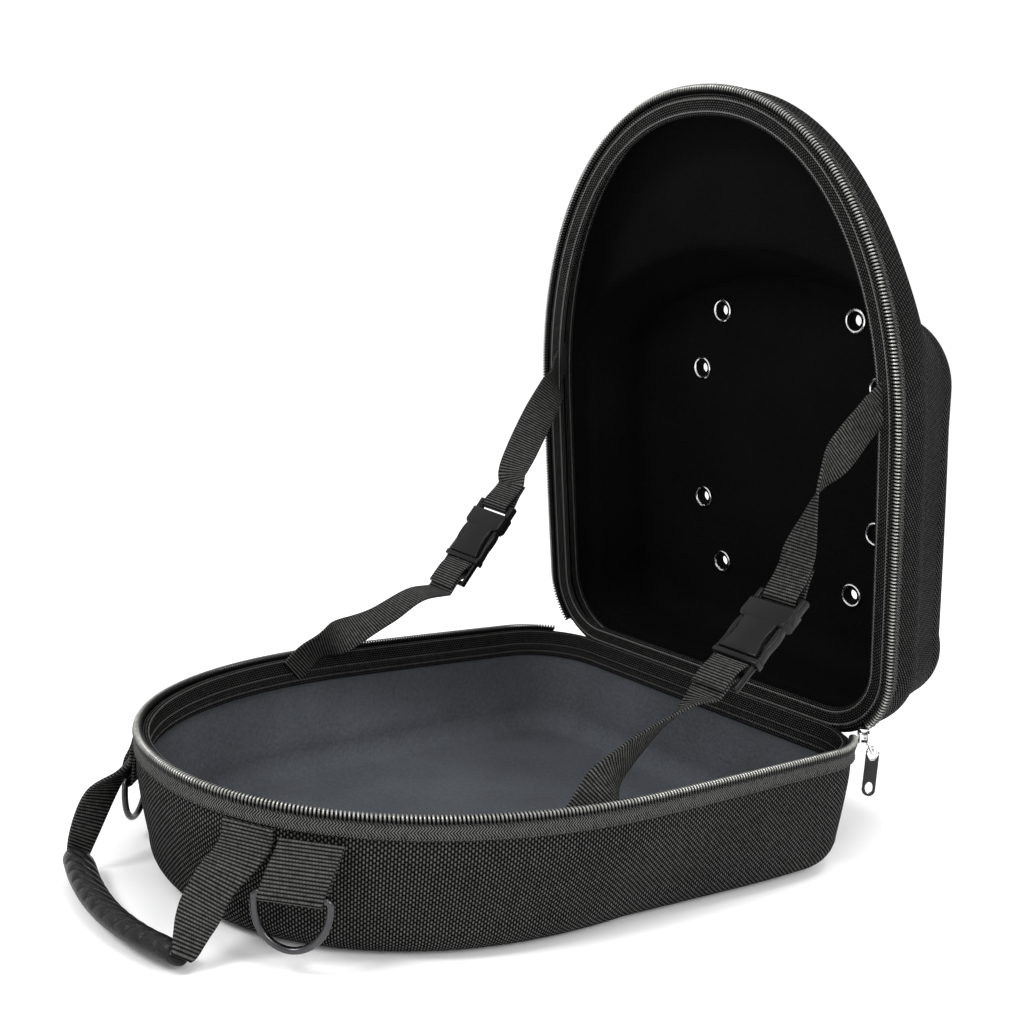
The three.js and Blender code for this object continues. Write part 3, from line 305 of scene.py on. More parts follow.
def half_outline():
    """Right half of the outline, from the middle of the hinge to the tip of the nose"""
    points = [(BACK_X * i / BACK_STEPS, 0.0) for i in range(BACK_STEPS)]
    for i in range(CORNER_STEPS + 1):
        a = math.radians(90 - 90 * i / CORNER_STEPS)
        points.append((BACK_X + HINGE_CORNER * math.cos(a), -HINGE_CORNER + HINGE_CORNER * math.sin(a)))
    for i in range(1, SIDE_STEPS + 1):
        y = -HINGE_CORNER - (WIDEST - HINGE_CORNER) * i / SIDE_STEPS
        points.append((side_x(y), y))
    points += [nose_point(i / NOSE_STEPS) for i in range(1, NOSE_STEPS + 1)]
    points[-1] = (0.0, -CASE_LENGTH)
    return np.array(points)


class Outline:
    """Points round the zip line with outward directions and the crown's reference lengths"""

    def __init__(self):
        half = half_outline()
        self.tip = len(half) - 1
        self.turn = BACK_STEPS + CORNER_STEPS + SIDE_STEPS
        self.points = np.vstack([half, half[-2:0:-1] * (-1, 1)])
        ahead = np.roll(self.points, -1, axis=0) - self.points
        behind = self.points - np.roll(self.points, 1, axis=0)
        ahead /= np.linalg.norm(ahead, axis=1)[:, None]
        behind /= np.linalg.norm(behind, axis=1)[:, None]
        tangent = ahead + behind
        tangent /= np.linalg.norm(tangent, axis=1)[:, None]
        self.outward = np.column_stack([-tangent[:, 1], tangent[:, 0]])
        self.along = -self.points[:, 1] / CASE_LENGTH
        steps = np.linalg.norm(np.diff(half, axis=0), axis=1)
        self.run = np.concatenate([[0], np.cumsum(steps)])
        self.run = np.maximum(self.run - self.run[self.turn], 0)

    def ring(self, out, z):
        """Points moved outward by out at height z"""
        shifted = self.points + self.outward * np.broadcast_to(out, len(self.points))[:, None]
        return np.column_stack([shifted, np.broadcast_to(z, len(self.points))])

    def span(self):
        """Numbers of the stations between the two ends of the zip"""
        skip = BACK_STEPS + round((90 - ZIP_END_DEGREES) / 90 * CORNER_STEPS)
        return slice(skip, len(self.points) - skip + 1)


OUTLINE = Outline()
LEAN = math.radians(LID_OPEN_DEGREES)
BASE_FRAME = Matrix.Translation((0, CASE_LENGTH / 2, BASE_DEPTH))
LID_PLACE = Matrix.Translation((0, CASE_LENGTH / 2 + LID_SETBACK, BASE_DEPTH - LID_DROP))
LID_FRAME = LID_PLACE @ Matrix.Rotation(-LEAN, 4, "X")
SIDES = (("near", 1), ("far", -1))


def base_inset(depth):
    share = max(depth - BINDING_LOW, 0) / (BASE_DEPTH - BINDING_LOW)
    return np.interp(OUTLINE.along, DRAFT_ALONG, DRAFT_INSET) * BASE_DEPTH * share ** DRAFT_POWER


def base_surface():
    """Outside of the base as rows from the rim down to the floor"""
    rows = [OUTLINE.ring(-base_inset(d), -d) for d in WALL_ROWS]
    for k in range(13):
        a = math.radians(90 * k / 12)
        inset = base_inset(FLOOR_START) + FLOOR_RADIUS * (1 - math.cos(a))
        rows.append(OUTLINE.ring(-inset, -FLOOR_START - FLOOR_RADIUS * math.sin(a)))
    return np.array(rows)


def crown_front(i, form, side, extra):
    """Point of the crown's rounded front for station i of the right half"""
    start = OUTLINE.points[OUTLINE.turn]
    edge = start[0] - side
    corner = CROWN_CORNER - extra
    bend = form["bend"] - extra
    centre_y = -form["front"] * CASE_LENGTH + extra + bend
    corner_x = edge - corner
    corner_y = centre_y - math.sqrt((bend - corner) ** 2 - corner_x ** 2)
    meet = math.atan2(corner_x, centre_y - corner_y)
    lengths = (start[1] - corner_y, corner * (math.pi / 2 - meet), bend * meet)
    run = OUTLINE.run[i] / OUTLINE.run[OUTLINE.tip] * sum(lengths)
    if run <= lengths[0]:
        return edge, start[1] - run
    run -= lengths[0]
    if run <= lengths[1]:
        a = -run / corner
        return corner_x + corner * math.cos(a), corner_y + corner * math.sin(a)
    a = meet - (run - lengths[1]) / bend
    return bend * math.sin(a), centre_y - bend * math.cos(a)


def crown_plan(form, extra):
    """Plan outline of the crown, moved inward by extra at each station"""
    half = []
    for i in range(OUTLINE.tip + 1):
        inward = extra[i]
        side = form["side"] * LID_DEPTH + inward
        back = form["back"] * LID_DEPTH + inward
        if i <= OUTLINE.turn:
            share = min(max((i - BACK_STEPS) / CORNER_STEPS, 0), 1)
            inset = back + (side - back) * share
            half.append(OUTLINE.points[i] - OUTLINE.outward[i] * inset)
        else:
            half.append(crown_front(i, form, side, inward))
    half = np.array(half)
    return np.vstack([half, half[-2:0:-1] * (-1, 1)])


def rounded_rows(rows, times):
    """Rows with the corners between them cut off, ends kept"""
    for _ in range(times):
        near = rows[:-1] * 0.75 + rows[1:] * 0.25
        far = rows[:-1] * 0.25 + rows[1:] * 0.75
        mixed = np.stack([near, far], axis=1).reshape(-1, *rows.shape[1:])
        rows = np.concatenate([rows[:1], mixed, rows[-1:]])
    return rows


def lid_surface():
    """Outside of the lid as rows from the rim over the brim and crown to the top"""
    count = len(OUTLINE.points)
    still = np.zeros(count)
    foot = crown_plan(CROWN_FOOT, still)
    rows = [OUTLINE.ring(0, d) for d in (RIM_TOP, 8, 13)]
    for mix, depth in zip(BRIM_MIX, BRIM_DEPTH):
        plan = OUTLINE.points * (1 - mix) + foot * mix
        rows.append(np.column_stack([plan, np.full(count, depth * LID_DEPTH)]))
    front = OUTLINE.run / OUTLINE.run[OUTLINE.tip]
    front = np.concatenate([front, front[-2:0:-1]])
    radius = CROWN_SIDE_RADIUS + (CROWN_FRONT_RADIUS - CROWN_SIDE_RADIUS) * np.clip(front * 1.6, 0, 1)
    wall = crown_plan(CROWN_WALL, still)
    for share in (0.15, 0.4, 0.7):
        z = BRIM_DEPTH[-1] * LID_DEPTH * (1 - share) + (LID_DEPTH - radius) * share
        rows.append(np.column_stack([foot * (1 - share) + wall * share, z]))
    rows = list(rounded_rows(np.array(rows), 2))
    for k in range(10):
        a = math.radians(10 * k)
        plan = crown_plan(CROWN_WALL, radius * (1 - math.cos(a)))
        rows.append(np.column_stack([plan, LID_DEPTH - radius + radius * math.sin(a)]))
    return np.array(rows)


def inset_rows(rows, distance):
    """Rows moved inward along the surface's own normals"""
    across = np.roll(rows, -1, axis=1) - np.roll(rows, 1, axis=1)
    down = np.gradient(rows, axis=0)
    normals = np.cross(across, down)
    normals /= np.linalg.norm(normals, axis=2)[:, :, None]
    middle = rows.mean(axis=(0, 1))
    if np.einsum("ijk,ijk->", normals, rows - middle) < 0:
        normals = -normals
    normals[0, :, 2] = 0
    return rows - normals * distance


# Meshes


def outward(mesh):
    """Turn a closed mesh's faces outward and shade it by angle"""
    bm = bmesh.new()
    bm.from_mesh(mesh)
    if bm.calc_volume(signed=True) < 0:
        bmesh.ops.reverse_faces(bm, faces=bm.faces)
    bm.to_mesh(mesh)
    bm.free()
    mesh.shade_smooth()
    mesh.set_sharp_from_angle(angle=SHARP)
    return mesh


def grid_mesh(name, grid, loop=False):
    """Closed mesh from rows of closed columns, in mm, with a UV map in metres"""
    rows, columns = grid.shape[:2]
    points = grid.reshape(-1, 3) * MM
    across = np.linalg.norm(np.roll(grid, -1, axis=1) - grid, axis=2).mean(axis=0)
    down = np.linalg.norm(np.roll(grid, -1, axis=0) - grid, axis=2).mean(axis=1)
    u = np.concatenate([[0], np.cumsum(across)]) * MM
    v = np.concatenate([[0], np.cumsum(down)]) * MM
    faces = []
    uvs = []
    for r in range(rows if loop else rows - 1):
        s = (r + 1) % rows
        for c in range(columns):
            d = (c + 1) % columns
            faces.append((r * columns + c, r * columns + d, s * columns + d, s * columns + c))
            uvs += [(u[c], v[r]), (u[c + 1], v[r]), (u[c + 1], v[r + 1]), (u[c], v[r + 1])]
    if not loop:
        for first, step in ((0, -1), ((rows - 1) * columns, 1)):
            ring = [first + c for c in range(columns)][::step]
            faces.append(ring)
            uvs += [(points[i][0], points[i][1]) for i in ring]
    mesh = bpy.data.meshes.new(name)
    mesh.from_pydata(points.tolist(), [], faces)
    layer = mesh.uv_layers.new(name="UVMap")
    layer.data.foreach_set("uv", np.array(uvs).ravel())
    return outward(mesh)


def linked(name, mesh):
    """Object in the scene for a mesh"""
    obj = bpy.data.objects.new(name, mesh)
    bpy.context.scene.collection.objects.link(obj)
    return obj


def applied(obj):
    """The object's mesh with its modifiers applied and removed"""
    graph = bpy.context.evaluated_depsgraph_get()
    mesh = bpy.data.meshes.new_from_object(obj.evaluated_get(graph))
    mesh.name = obj.name
    obj.modifiers.clear()
    obj.data = mesh
    return obj


def joined(name, meshes):
    """One mesh from several, keeping their UV maps and material numbers"""
    bm = bmesh.new()
    for mesh in meshes:
        bm.from_mesh(mesh)
    whole = bpy.data.meshes.new(name)
    bm.to_mesh(whole)
    bm.free()
    whole.shade_smooth()
    whole.set_sharp_from_angle(angle=SHARP)
    return whole


def finished(obj, body, slot, nodes, *materials):
    """Give a piece its materials, hang it on its body and hide the parts it replaces"""
    mesh = obj.data
    numbers = np.zeros(len(mesh.polygons), dtype=np.int32)
    mesh.polygons.foreach_get("material_index", numbers)
    mesh.materials.clear()
    for material in materials:
        mesh.materials.append(material)
    mesh.polygons.foreach_set("material_index", numbers if len(materials) > 1 else numbers * 0)
    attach(obj, body)
    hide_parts(*nodes)
    return obj


def add_piece(name, mesh, body, slot, replaced, *materials):
    """Piece in the scene from a finished mesh"""
    return finished(linked(name, mesh), body, slot, [replaced], *materials)


def moved(mesh, matrix):
    """Take a mesh made in mm through a matrix in mm"""
    scale = Matrix.Scale(MM, 4)
    mesh.transform(scale @ matrix @ scale.inverted())
    return mesh


def directions(route):
    """Unit travel direction at each point of a route"""
    ahead = np.vstack([route[1:], route[-1:]])
    behind = np.vstack([route[:1], route[:-1]])
    travel = ahead - behind
    return travel / np.linalg.norm(travel, axis=1)[:, None]


def sweep(route, wides, section, sheared=False, widths=None):
    """Rows of a section carried along a route; widths scale it across at each point"""
    travel = directions(route)
    normal = np.cross(wides, travel)
    normal /= np.linalg.norm(normal, axis=1)[:, None]
    wide = wides if sheared else np.cross(travel, normal)
    wide = wide / np.linalg.norm(wide, axis=1)[:, None]
    scale = np.ones(len(route)) if widths is None else widths
    across = section[None, :, :1] * scale[:, None, None] * wide[:, None, :]
    through = section[None, :, 1:] * normal[:, None, :]
    return route[:, None, :] + across + through


def webbing_section(width, thick):
    """Flat section with rounded selvedges, slightly fuller than its middle"""
    half = width / 2
    high = thick / 2
    points = []
    for side in (1, -1):
        points += [(side * x, side * y) for x, y in arc(half - high, 0, high, high * 1.08, -90, 90, 5)]
        for k in range(1, 6):
            x = half - high - k / 6 * 2 * (half - high)
            points.append((side * x, side * high * 0.94))
    return np.array(points)


def catmull(points, steps, centripetal=True):
    """Points of a smooth curve through a few chosen points"""
    p = np.array(points, float)
    p = np.vstack([2 * p[0] - p[1], p, 2 * p[-1] - p[-2]])
    segments = len(p) - 3
    out = []
    for k in range(steps + 1):
        place = k / steps * segments
        i = min(int(place), segments - 1)
        w = place - i
        a, b, c, d = p[i:i + 4]
        if centripetal:
            pairs = ((a, b), (b, c), (c, d))
            g0, g1, g2 = (max(np.linalg.norm(end - start), 1e-4) ** 0.5 for start, end in pairs)
            t0 = ((b - a) / g0 - (c - a) / (g0 + g1) + (c - b) / g1) * g1
            t1 = ((c - b) / g1 - (d - b) / (g1 + g2) + (d - c) / g2) * g1
        else:
            t0 = (c - a) / 2
            t1 = (d - b) / 2
        c2 = -3 * b + 3 * c - 2 * t0 - t1
        c3 = 2 * b - 2 * c + t0 + t1
        out.append(b + t0 * w + c2 * w ** 2 + c3 * w ** 3)
    return np.array(out)


def unit(v):
    v = np.array(v, float)
    return v / np.linalg.norm(v)


def smooth_route(points, wides, steps):
    """A smooth route and its width directions"""
    turned = catmull(wides, steps, centripetal=False)
    return catmull(points, steps), turned / np.linalg.norm(turned, axis=1)[:, None]


def plate_mesh(name, outline, thick, bevel, holes=(), resolution=2):
    """Flat plate with rounded edges from outlines in mm, centred on z = 0"""
    curve = bpy.data.curves.new(name, "CURVE")
    curve.dimensions = "2D"
    curve.fill_mode = "BOTH"
    for loop in (outline, *holes):
        spline = curve.splines.new("POLY")
        spline.points.add(len(loop) - 1)
        for point, (x, y) in zip(spline.points, loop):
            point.co = (x * MM, y * MM, 0, 1)
        spline.use_cyclic_u = True
    curve.extrude = (thick / 2 - bevel) * MM
    curve.bevel_depth = bevel * MM
    curve.offset = -bevel * MM
    curve.bevel_resolution = resolution
    obj = linked(name, curve)
    graph = bpy.context.evaluated_depsgraph_get()
    mesh = bpy.data.meshes.new_from_object(obj.evaluated_get(graph))
    bpy.data.objects.remove(obj)
    bm = bmesh.new()
    bm.from_mesh(mesh)
    bmesh.ops.remove_doubles(bm, verts=bm.verts, dist=0.00001)
    bmesh.ops.recalc_face_normals(bm, faces=bm.faces)
    uv = bm.loops.layers.uv.new("UVMap")
    for face in bm.faces:
        for loop in face.loops:
            loop[uv].uv = loop.vert.co.xy
    bm.to_mesh(mesh)
    bm.free()
    return outward(mesh)


def box_outline(x0, x1, y0, y1):
    return [(x0, y0), (x1, y0), (x1, y1), (x0, y1)]


def arc(cx, cy, rx, ry, start, end, steps):
    turns = [math.radians(start + (end - start) * k / steps) for k in range(steps + 1)]
    return [(cx + rx * math.cos(a), cy + ry * math.sin(a)) for a in turns]


def mirrored(outline):
    return [*outline, *[(-x, y) for x, y in reversed(outline)]]


def smoothed_outline(outline, times=2):
    """Outline with its corners rounded by cutting them"""
    points = np.array(outline, float)
    for _ in range(times):
        after = np.roll(points, -1, axis=0)
        points = np.stack([points * 0.75 + after * 0.25, points * 0.25 + after * 0.75], axis=1).reshape(-1, 2)
    return [tuple(p) for p in points]


# Rows of teeth and stitches by Geometry Nodes


def node(tree, kind, inputs=None, **settings):
    """New node with its settings made and its inputs set or linked by name or number"""
    made = tree.nodes.new(kind)
    for key, value in settings.items():
        setattr(made, key, value)
    for key, value in (inputs or {}).items():
        if isinstance(value, Number):
            value = value.socket
        if isinstance(value, bpy.types.NodeSocket):
            tree.links.new(value, made.inputs[key])
        else:
            made.inputs[key].default_value = value
    return made


class Number:
    """A node's value that sums and products can be written with"""

    def __init__(self, tree, socket):
        self.tree = tree
        self.socket = socket

    def math(self, operation, *others):
        made = node(self.tree, "ShaderNodeMath", dict(enumerate((self, *others))), operation=operation)
        return Number(self.tree, made.outputs[0])

    def __add__(self, other):
        return self.math("ADD", other)

    def __sub__(self, other):
        return self.math("SUBTRACT", other)

    def __mul__(self, other):
        return self.math("MULTIPLY", other)

    def __truediv__(self, other):
        return self.math("DIVIDE", other)

    def __mod__(self, other):
        return self.math("MODULO", other)

    def __pow__(self, other):
        return self.math("POWER", other)

    def humps(self, pitch, shift=0.0):
        """Rounded ridges a pitch apart"""
        return (self * (math.pi / pitch) + shift).math("SINE").math("ABSOLUTE")


def row_tree():
    """Copies of one piece set along a path, each turned a little by chance"""
    tree = bpy.data.node_groups.get("Row Along Path")
    if tree:
        return tree
    tree = bpy.data.node_groups.new("Row Along Path", "GeometryNodeTree")
    face = tree.interface
    sockets = (
        ("Path", "Geometry"), ("Piece", "Object"), ("Spacing", "Float"), ("Jitter", "Float"), ("Seed", "Int"),
        ("Material", "Material"),
    )
    for name, kind in sockets:
        face.new_socket(name, in_out="INPUT", socket_type=f"NodeSocket{kind}")
    face.new_socket("Row", in_out="OUTPUT", socket_type="NodeSocketGeometry")
    given = node(tree, "NodeGroupInput").outputs
    curve = node(tree, "GeometryNodeMeshToCurve", {"Mesh": given["Path"]})
    spaced = {"Curve": curve.outputs[0], "Length": given["Spacing"]}
    points = node(tree, "GeometryNodeCurveToPoints", spaced, mode="LENGTH").outputs
    along = node(tree, "FunctionNodeAlignRotationToVector", {"Vector": points["Tangent"]}, axis="X")
    up = {"Rotation": along.outputs[0], "Vector": (0, 0, 1)}
    upright = node(tree, "FunctionNodeAlignRotationToVector", up, axis="Z", pivot_axis="X")
    span = {"Min": -1.0, "Max": 1.0, "Seed": given["Seed"]}
    chance = node(tree, "FunctionNodeRandomValue", span, data_type="FLOAT").outputs["Value"]
    euler = node(tree, "ShaderNodeCombineXYZ", {"Z": Number(tree, chance) * given["Jitter"]})
    local = {"Rotation": upright.outputs[0], "Rotate By": euler.outputs[0]}
    turn = node(tree, "FunctionNodeRotateRotation", local, rotation_space="LOCAL")
    piece = node(tree, "GeometryNodeObjectInfo", {"Object": given["Piece"], "As Instance": True})
    copies = node(tree, "GeometryNodeInstanceOnPoints", {
        "Points": points["Points"], "Instance": piece.outputs["Geometry"], "Rotation": turn.outputs[0],
    })
    real = node(tree, "GeometryNodeRealizeInstances", {"Geometry": copies.outputs[0]})
    given_look = {"Geometry": real.outputs[0], "Material": given["Material"]}
    node(tree, "NodeGroupOutput", {"Row": node(tree, "GeometryNodeSetMaterial", given_look).outputs[0]})
    return tree


def path_row(name, points, piece, spacing, material, closed=False, jitter=0.0):
    """Mesh of a piece repeated along points given in mm"""
    count = len(points)
    edges = [(i, (i + 1) % count) for i in range(count if closed else count - 1)]
    mesh = bpy.data.meshes.new(name)
    mesh.from_pydata((np.array(points) * MM).tolist(), edges, [])
    carrier = linked(name, mesh)
    copy = linked(f"{name}_piece", piece)
    tree = row_tree()
    row = carrier.modifiers.new("Row", "NODES")
    row.node_group = tree
    values = {"Piece": copy, "Spacing": spacing, "Jitter": jitter, "Seed": 7, "Material": material}
    for item in tree.interface.items_tree:
        if item.in_out == "INPUT" and item.name in values:
            row[item.identifier] = values[item.name]
    applied(carrier)
    made = carrier.data
    bpy.data.objects.remove(carrier)
    bpy.data.objects.remove(copy)
    made.shade_smooth()
    return made


def round_section(radius, sides):
    turns = [2 * math.pi * k / sides for k in range(sides)]
    return np.array([(radius * math.cos(a), radius * math.sin(a)) for a in turns])


def facing(way, count):
    """One width direction for a whole route"""
    return np.tile(np.array(way, float), (count, 1))


def tooth_mesh():
    """Tooth as a short bent tube with narrowed ends"""
    route = np.array([
        (0.35, -1.75, -0.2), (0.3, -1.85, 0.8), (0.2, -1.2, 1.7), (0.1, 0.0, 2.0),
        (0.0, 1.1, 1.8), (-0.1, 1.7, 1.0), (-0.25, 1.9, -0.4), (-0.45, 1.7, -2.0),
    ])
    grid = sweep(route, facing((1, 0, 0), len(route)), round_section(TOOTH_RADIUS, 8))
    scale = np.ones(len(route))
    scale[0] = scale[-1] = 0.55
    return grid_mesh("tooth", route[:, None, :] + (grid - route[:, None, :]) * scale[:, None, None])


def stitch_mesh(length, rise, wire, turn):
    """Stitch as a low arch of thread, turned about its length to lie on its band"""
    bends = [math.pi * k / 5 for k in range(6)]
    route = np.array([(-length / 2 * math.cos(a), 0.0, rise * (math.sin(a) - 0.45)) for a in bends])
    turns = [STITCH_STEP * k for k in range(6)]
    section = np.array([(wire * math.cos(a), wire * 0.8 * math.sin(a)) for a in turns])
    mesh = grid_mesh("stitch", sweep(route, facing((0, 1, 0), len(route)), section))
    mesh.transform(Matrix.Rotation(math.radians(turn), 4, "X"))
    return mesh


# Finishes


def toned(colour, factor):
    return tuple(min(c * factor, 1.0) for c in colour)


class Finish:
    """A material in the making: its tree, its shader and what feeds them"""

    def __init__(self, name, colour, roughness, **sockets):
        self.material = bpy.data.materials.new(name)
        self.material.use_nodes = True
        self.tree = self.material.node_tree
        self.shader = self.tree.nodes["Principled BSDF"]
        self.shader.inputs["Base Color"].default_value = (*colour, 1)
        self.shader.inputs["Roughness"].default_value = roughness
        for key, value in sockets.items():
            self.shader.inputs[key.replace("_", " ")].default_value = value

    def feed(self, key, socket):
        self.tree.links.new(socket, self.shader.inputs[key])

    def lengths(self):
        """The UV map's two lengths in metres"""
        uv = node(self.tree, "ShaderNodeUVMap", uv_map="UVMap")
        split = node(self.tree, "ShaderNodeSeparateXYZ", {0: uv.outputs[0]})
        return [Number(self.tree, split.outputs[i]) for i in (0, 1)]

    def texture(self, kind, output, inputs, **settings):
        place = node(self.tree, "ShaderNodeTexCoord").outputs["Object"]
        made = node(self.tree, kind, {"Vector": place, **inputs}, **settings)
        return Number(self.tree, made.outputs[output])

    def noise(self, scale, detail=2.0):
        return self.texture("ShaderNodeTexNoise", "Fac", {"Scale": scale, "Detail": detail})

    def colours(self, factor, low, high):
        ends = {"Factor": factor, "A": (*low, 1), "B": (*high, 1)}
        self.feed("Base Color", node(self.tree, "ShaderNodeMix", ends, data_type="RGBA").outputs["Result"])

    def spread(self, factor, low, high, key="Roughness"):
        span = node(self.tree, "ShaderNodeMapRange", {"Value": factor, "To Min": low, "To Max": high})
        self.feed(key, span.outputs[0])

    def bump(self, height, distance):
        made = node(self.tree, "ShaderNodeBump", {"Height": height, "Distance": distance, "Strength": 1.0})
        self.feed("Normal", made.outputs[0])


def brick_pips(u, v, column, row, narrow=2.2, short=2.0):
    """Staggered rounded pips: 1 on top of each thread, 0 between them"""
    x = u / column
    y = v / row + x.math("FLOOR") % 2.0 * 0.5
    across = (x.math("FRACT") * math.pi).math("SINE")
    down = (y.math("FRACT") * math.pi).math("SINE")
    return across ** narrow * down ** short


def weave(name, colour, pips_of):
    """Dark woven cloth with a painted highlight on its thread tops and painted shade in the gaps between
    them; the tops are also shinier than the gaps
    """
    finish = Finish(name, colour, 0.7, Specular_IOR_Level=0.02)
    pips = pips_of(*finish.lengths())
    fine = finish.noise(420.0, 1.0)
    # light: painted highlight on the thread tops, falling to painted shade in the gaps between threads
    light = pips * (finish.noise(14.0) * 0.6 + fine * 1.1)
    finish.colours(light, toned(colour, 0.02), toned(colour, 5.0))
    finish.spread(pips, 0.9, 0.42)
    finish.spread(light, 0.0, 0.06, "Specular IOR Level")
    finish.bump(pips + fine * 0.25, 0.0005)
    return finish.material


def shell_cloth(colours, sizes):
    pitch = sizes.weave_pitch
    return weave("Shell Cloth", colours.shell, lambda u, v: brick_pips(u, v, pitch, pitch * 1.7))


def lid_cloth_in_painted_shade(colours, sizes):
    """The same cloth cut on the bias, so that its rows run slanting, and darkened as painted shade"""
    pitch = sizes.weave_pitch * 1.4

    def slanted(u, v):
        return brick_pips(u.math("MULTIPLY_ADD", -0.62, v), u, pitch, pitch * 0.8, 1.8, 0.6)

    # The shell colour toned down to 0.3 is painted shade on the lid
    return weave("Lid Cloth", toned(colours.shell, 0.3), slanted)


def band_cloth(colours, sizes):
    """Ribbed band inside the rim"""
    pitch = sizes.tooth_pitch

    def ribs(u, v):
        return brick_pips(u, v, pitch * 0.7, pitch, 1.3, 1.6)

    return weave("Band Cloth", toned(colours.tape, 0.45), ribs)


def tape_cloth(colours, _sizes):
    """Herringbone: slanted threads whose slant turns over in each row"""

    def threads(u, v):
        return (v + u.math("PINGPONG", HERRING_ROW) * 0.9).humps(HERRING_PITCH) ** 2.4 * 1.3

    return weave("Tape Cloth", colours.tape, threads)


def webbing_cloth(colours, sizes):
    """Ribs across the webbing with staggered warp threads over them"""

    def ribs(u, v):
        stagger = (v / sizes.rib_pitch).math("FLOOR") % 2.0 * (math.pi / 2)
        return v.humps(sizes.rib_pitch) ** 1.9 * (u.humps(WARP_PITCH, stagger) * 0.45 + 0.55)

    return weave("Webbing", colours.webbing, ribs)


def lining_cloth(name, colour):
    finish = Finish(name, colour, 0.95, Specular_IOR_Level=0.02)
    cloud = finish.noise(16.0, 3.0)
    nap = finish.noise(500.0, 3.0)
    finish.colours(cloud * 0.6 + nap * 0.5, toned(colour, 0.35), toned(colour, 1.7))
    finish.bump(nap + cloud * 6.0, 0.0005)
    return finish.material


def zip_nylon(_colours, _sizes):
    """Black coil with a painted highlight over the crest of each tooth, where it is also made partly metallic
    """
    black = (0.004, 0.004, 0.004)
    finish = Finish("Zip Nylon", black, 0.28, Specular_IOR_Level=0.3)
    away = (finish.lengths()[1] - TOOTH_CREST * MM).math("ABSOLUTE")
    # Painted highlight: lighter, partly metallic colour round each tooth's crest
    painted_crest_glint = (away * (-0.5 / MM) + 1.0).math("MAXIMUM", 0.0) ** 1.2
    finish.colours(painted_crest_glint * (finish.noise(300.0) + 0.35), black, (0.42, 0.42, 0.4))
    finish.spread(painted_crest_glint, 0.0, 0.6, "Metallic")
    return finish.material


def matte_black(_colours, _sizes):
    # Also set in the eyelets' throats, where it is painted shade
    finish = Finish("Matte Black", (0.002, 0.002, 0.002), 0.9, Specular_IOR_Level=0.03)
    finish.colours(finish.noise(400.0), (0.001, 0.001, 0.001), (0.004, 0.004, 0.004))
    return finish.material


def thread_look(_colours, _sizes):
    finish = Finish("Stitch Thread", (0.05, 0.05, 0.048), 0.45, Sheen_Weight=0.2)
    finish.colours(finish.noise(300.0), (0.02, 0.02, 0.02), (0.11, 0.11, 0.105))
    finish.bump(finish.noise(2500.0), 0.0001)
    return finish.material


def buckle_plastic(colours, _sizes):
    finish = Finish("Buckle Plastic", colours.plastic, 0.25, Specular_IOR_Level=0.12)
    cloud = finish.noise(60.0, 3.0)
    finish.colours(cloud, toned(colours.plastic, 0.8), toned(colours.plastic, 1.6))
    finish.spread(cloud, 0.2, 0.32)
    finish.bump(finish.noise(1800.0, 1.0), 0.00003)
    return finish.material


def metal_look(name, colour, low, high):
    finish = Finish(name, colour, low, Metallic=1.0)
    wear = finish.noise(240.0, 3.0)
    finish.colours(wear, toned(colour, 0.75), toned(colour, 1.1))
    finish.spread(wear, low, high)
    finish.bump(finish.noise(1200.0), 0.00002)
    return finish.material


def grip_skin(colours, _sizes):
    finish = Finish("Grip Skin", colours.grip, 0.35, Specular_IOR_Level=0.15)
    cells = finish.texture("ShaderNodeTexVoronoi", "Distance", {"Scale": 900.0}, feature="F1")
    cloud = finish.noise(70.0, 3.0)
    finish.colours(cloud, toned(colours.grip, 0.4), toned(colours.grip, 1.2))
    finish.spread(cloud, 0.32, 0.52)
    finish.bump(cells + cloud * 2.0, 0.00015)
    return finish.material


def pull_paint(_colours, _sizes):
    black = (0.006, 0.006, 0.006)
    finish = Finish("Pull Paint", black, 0.35, Specular_IOR_Level=0.2)
    finish.spread(finish.noise(300.0), 0.22, 0.4)
    finish.colours(finish.noise(150.0), black, (0.02, 0.02, 0.02))
    return finish.material


MAKERS = {
    "shell": shell_cloth,
    "lid": lid_cloth_in_painted_shade,
    "band": band_cloth,
    "base_lining": lambda c, s: lining_cloth("Base Lining", c.lining),
    # The lid lining's darker colour is painted shade on the same lining cloth
    "lid_lining": lambda c, s: lining_cloth("Lid Lining", c.lid_lining),
    "tape": tape_cloth,
    "webbing": webbing_cloth,
    "teeth": zip_nylon,
    "thread": thread_look,
    "plastic": buckle_plastic,
    "grip": grip_skin,
    "pull": pull_paint,
    "matte": matte_black,
    "steel": lambda c, s: metal_look("Bright Metal", (0.78, 0.78, 0.79), 0.12, 0.28),
    "gunmetal": lambda c, s: metal_look("Gunmetal", (0.06, 0.06, 0.063), 0.2, 0.35),
}
LOOKS = {}


def look(context, name):
    """The named finish, made once"""
    if name not in LOOKS:
        LOOKS[name] = MAKERS[name](context.scene.hat_case_colours, context.scene.hat_case_sizes)
    return LOOKS[name]


# Shells, linings and rim bands


def eyelet_places():
    return [(side * out * HALF, -along * CASE_LENGTH) for out, along in EYELETS for side in (1, -1)]


def shell_grid(surface, outer, inner):
    """Rows down the outside and back up the inside of a wall"""
    outside = inset_rows(surface, outer) if outer else surface
    return np.concatenate([outside[::-1], inset_rows(surface, inner)])


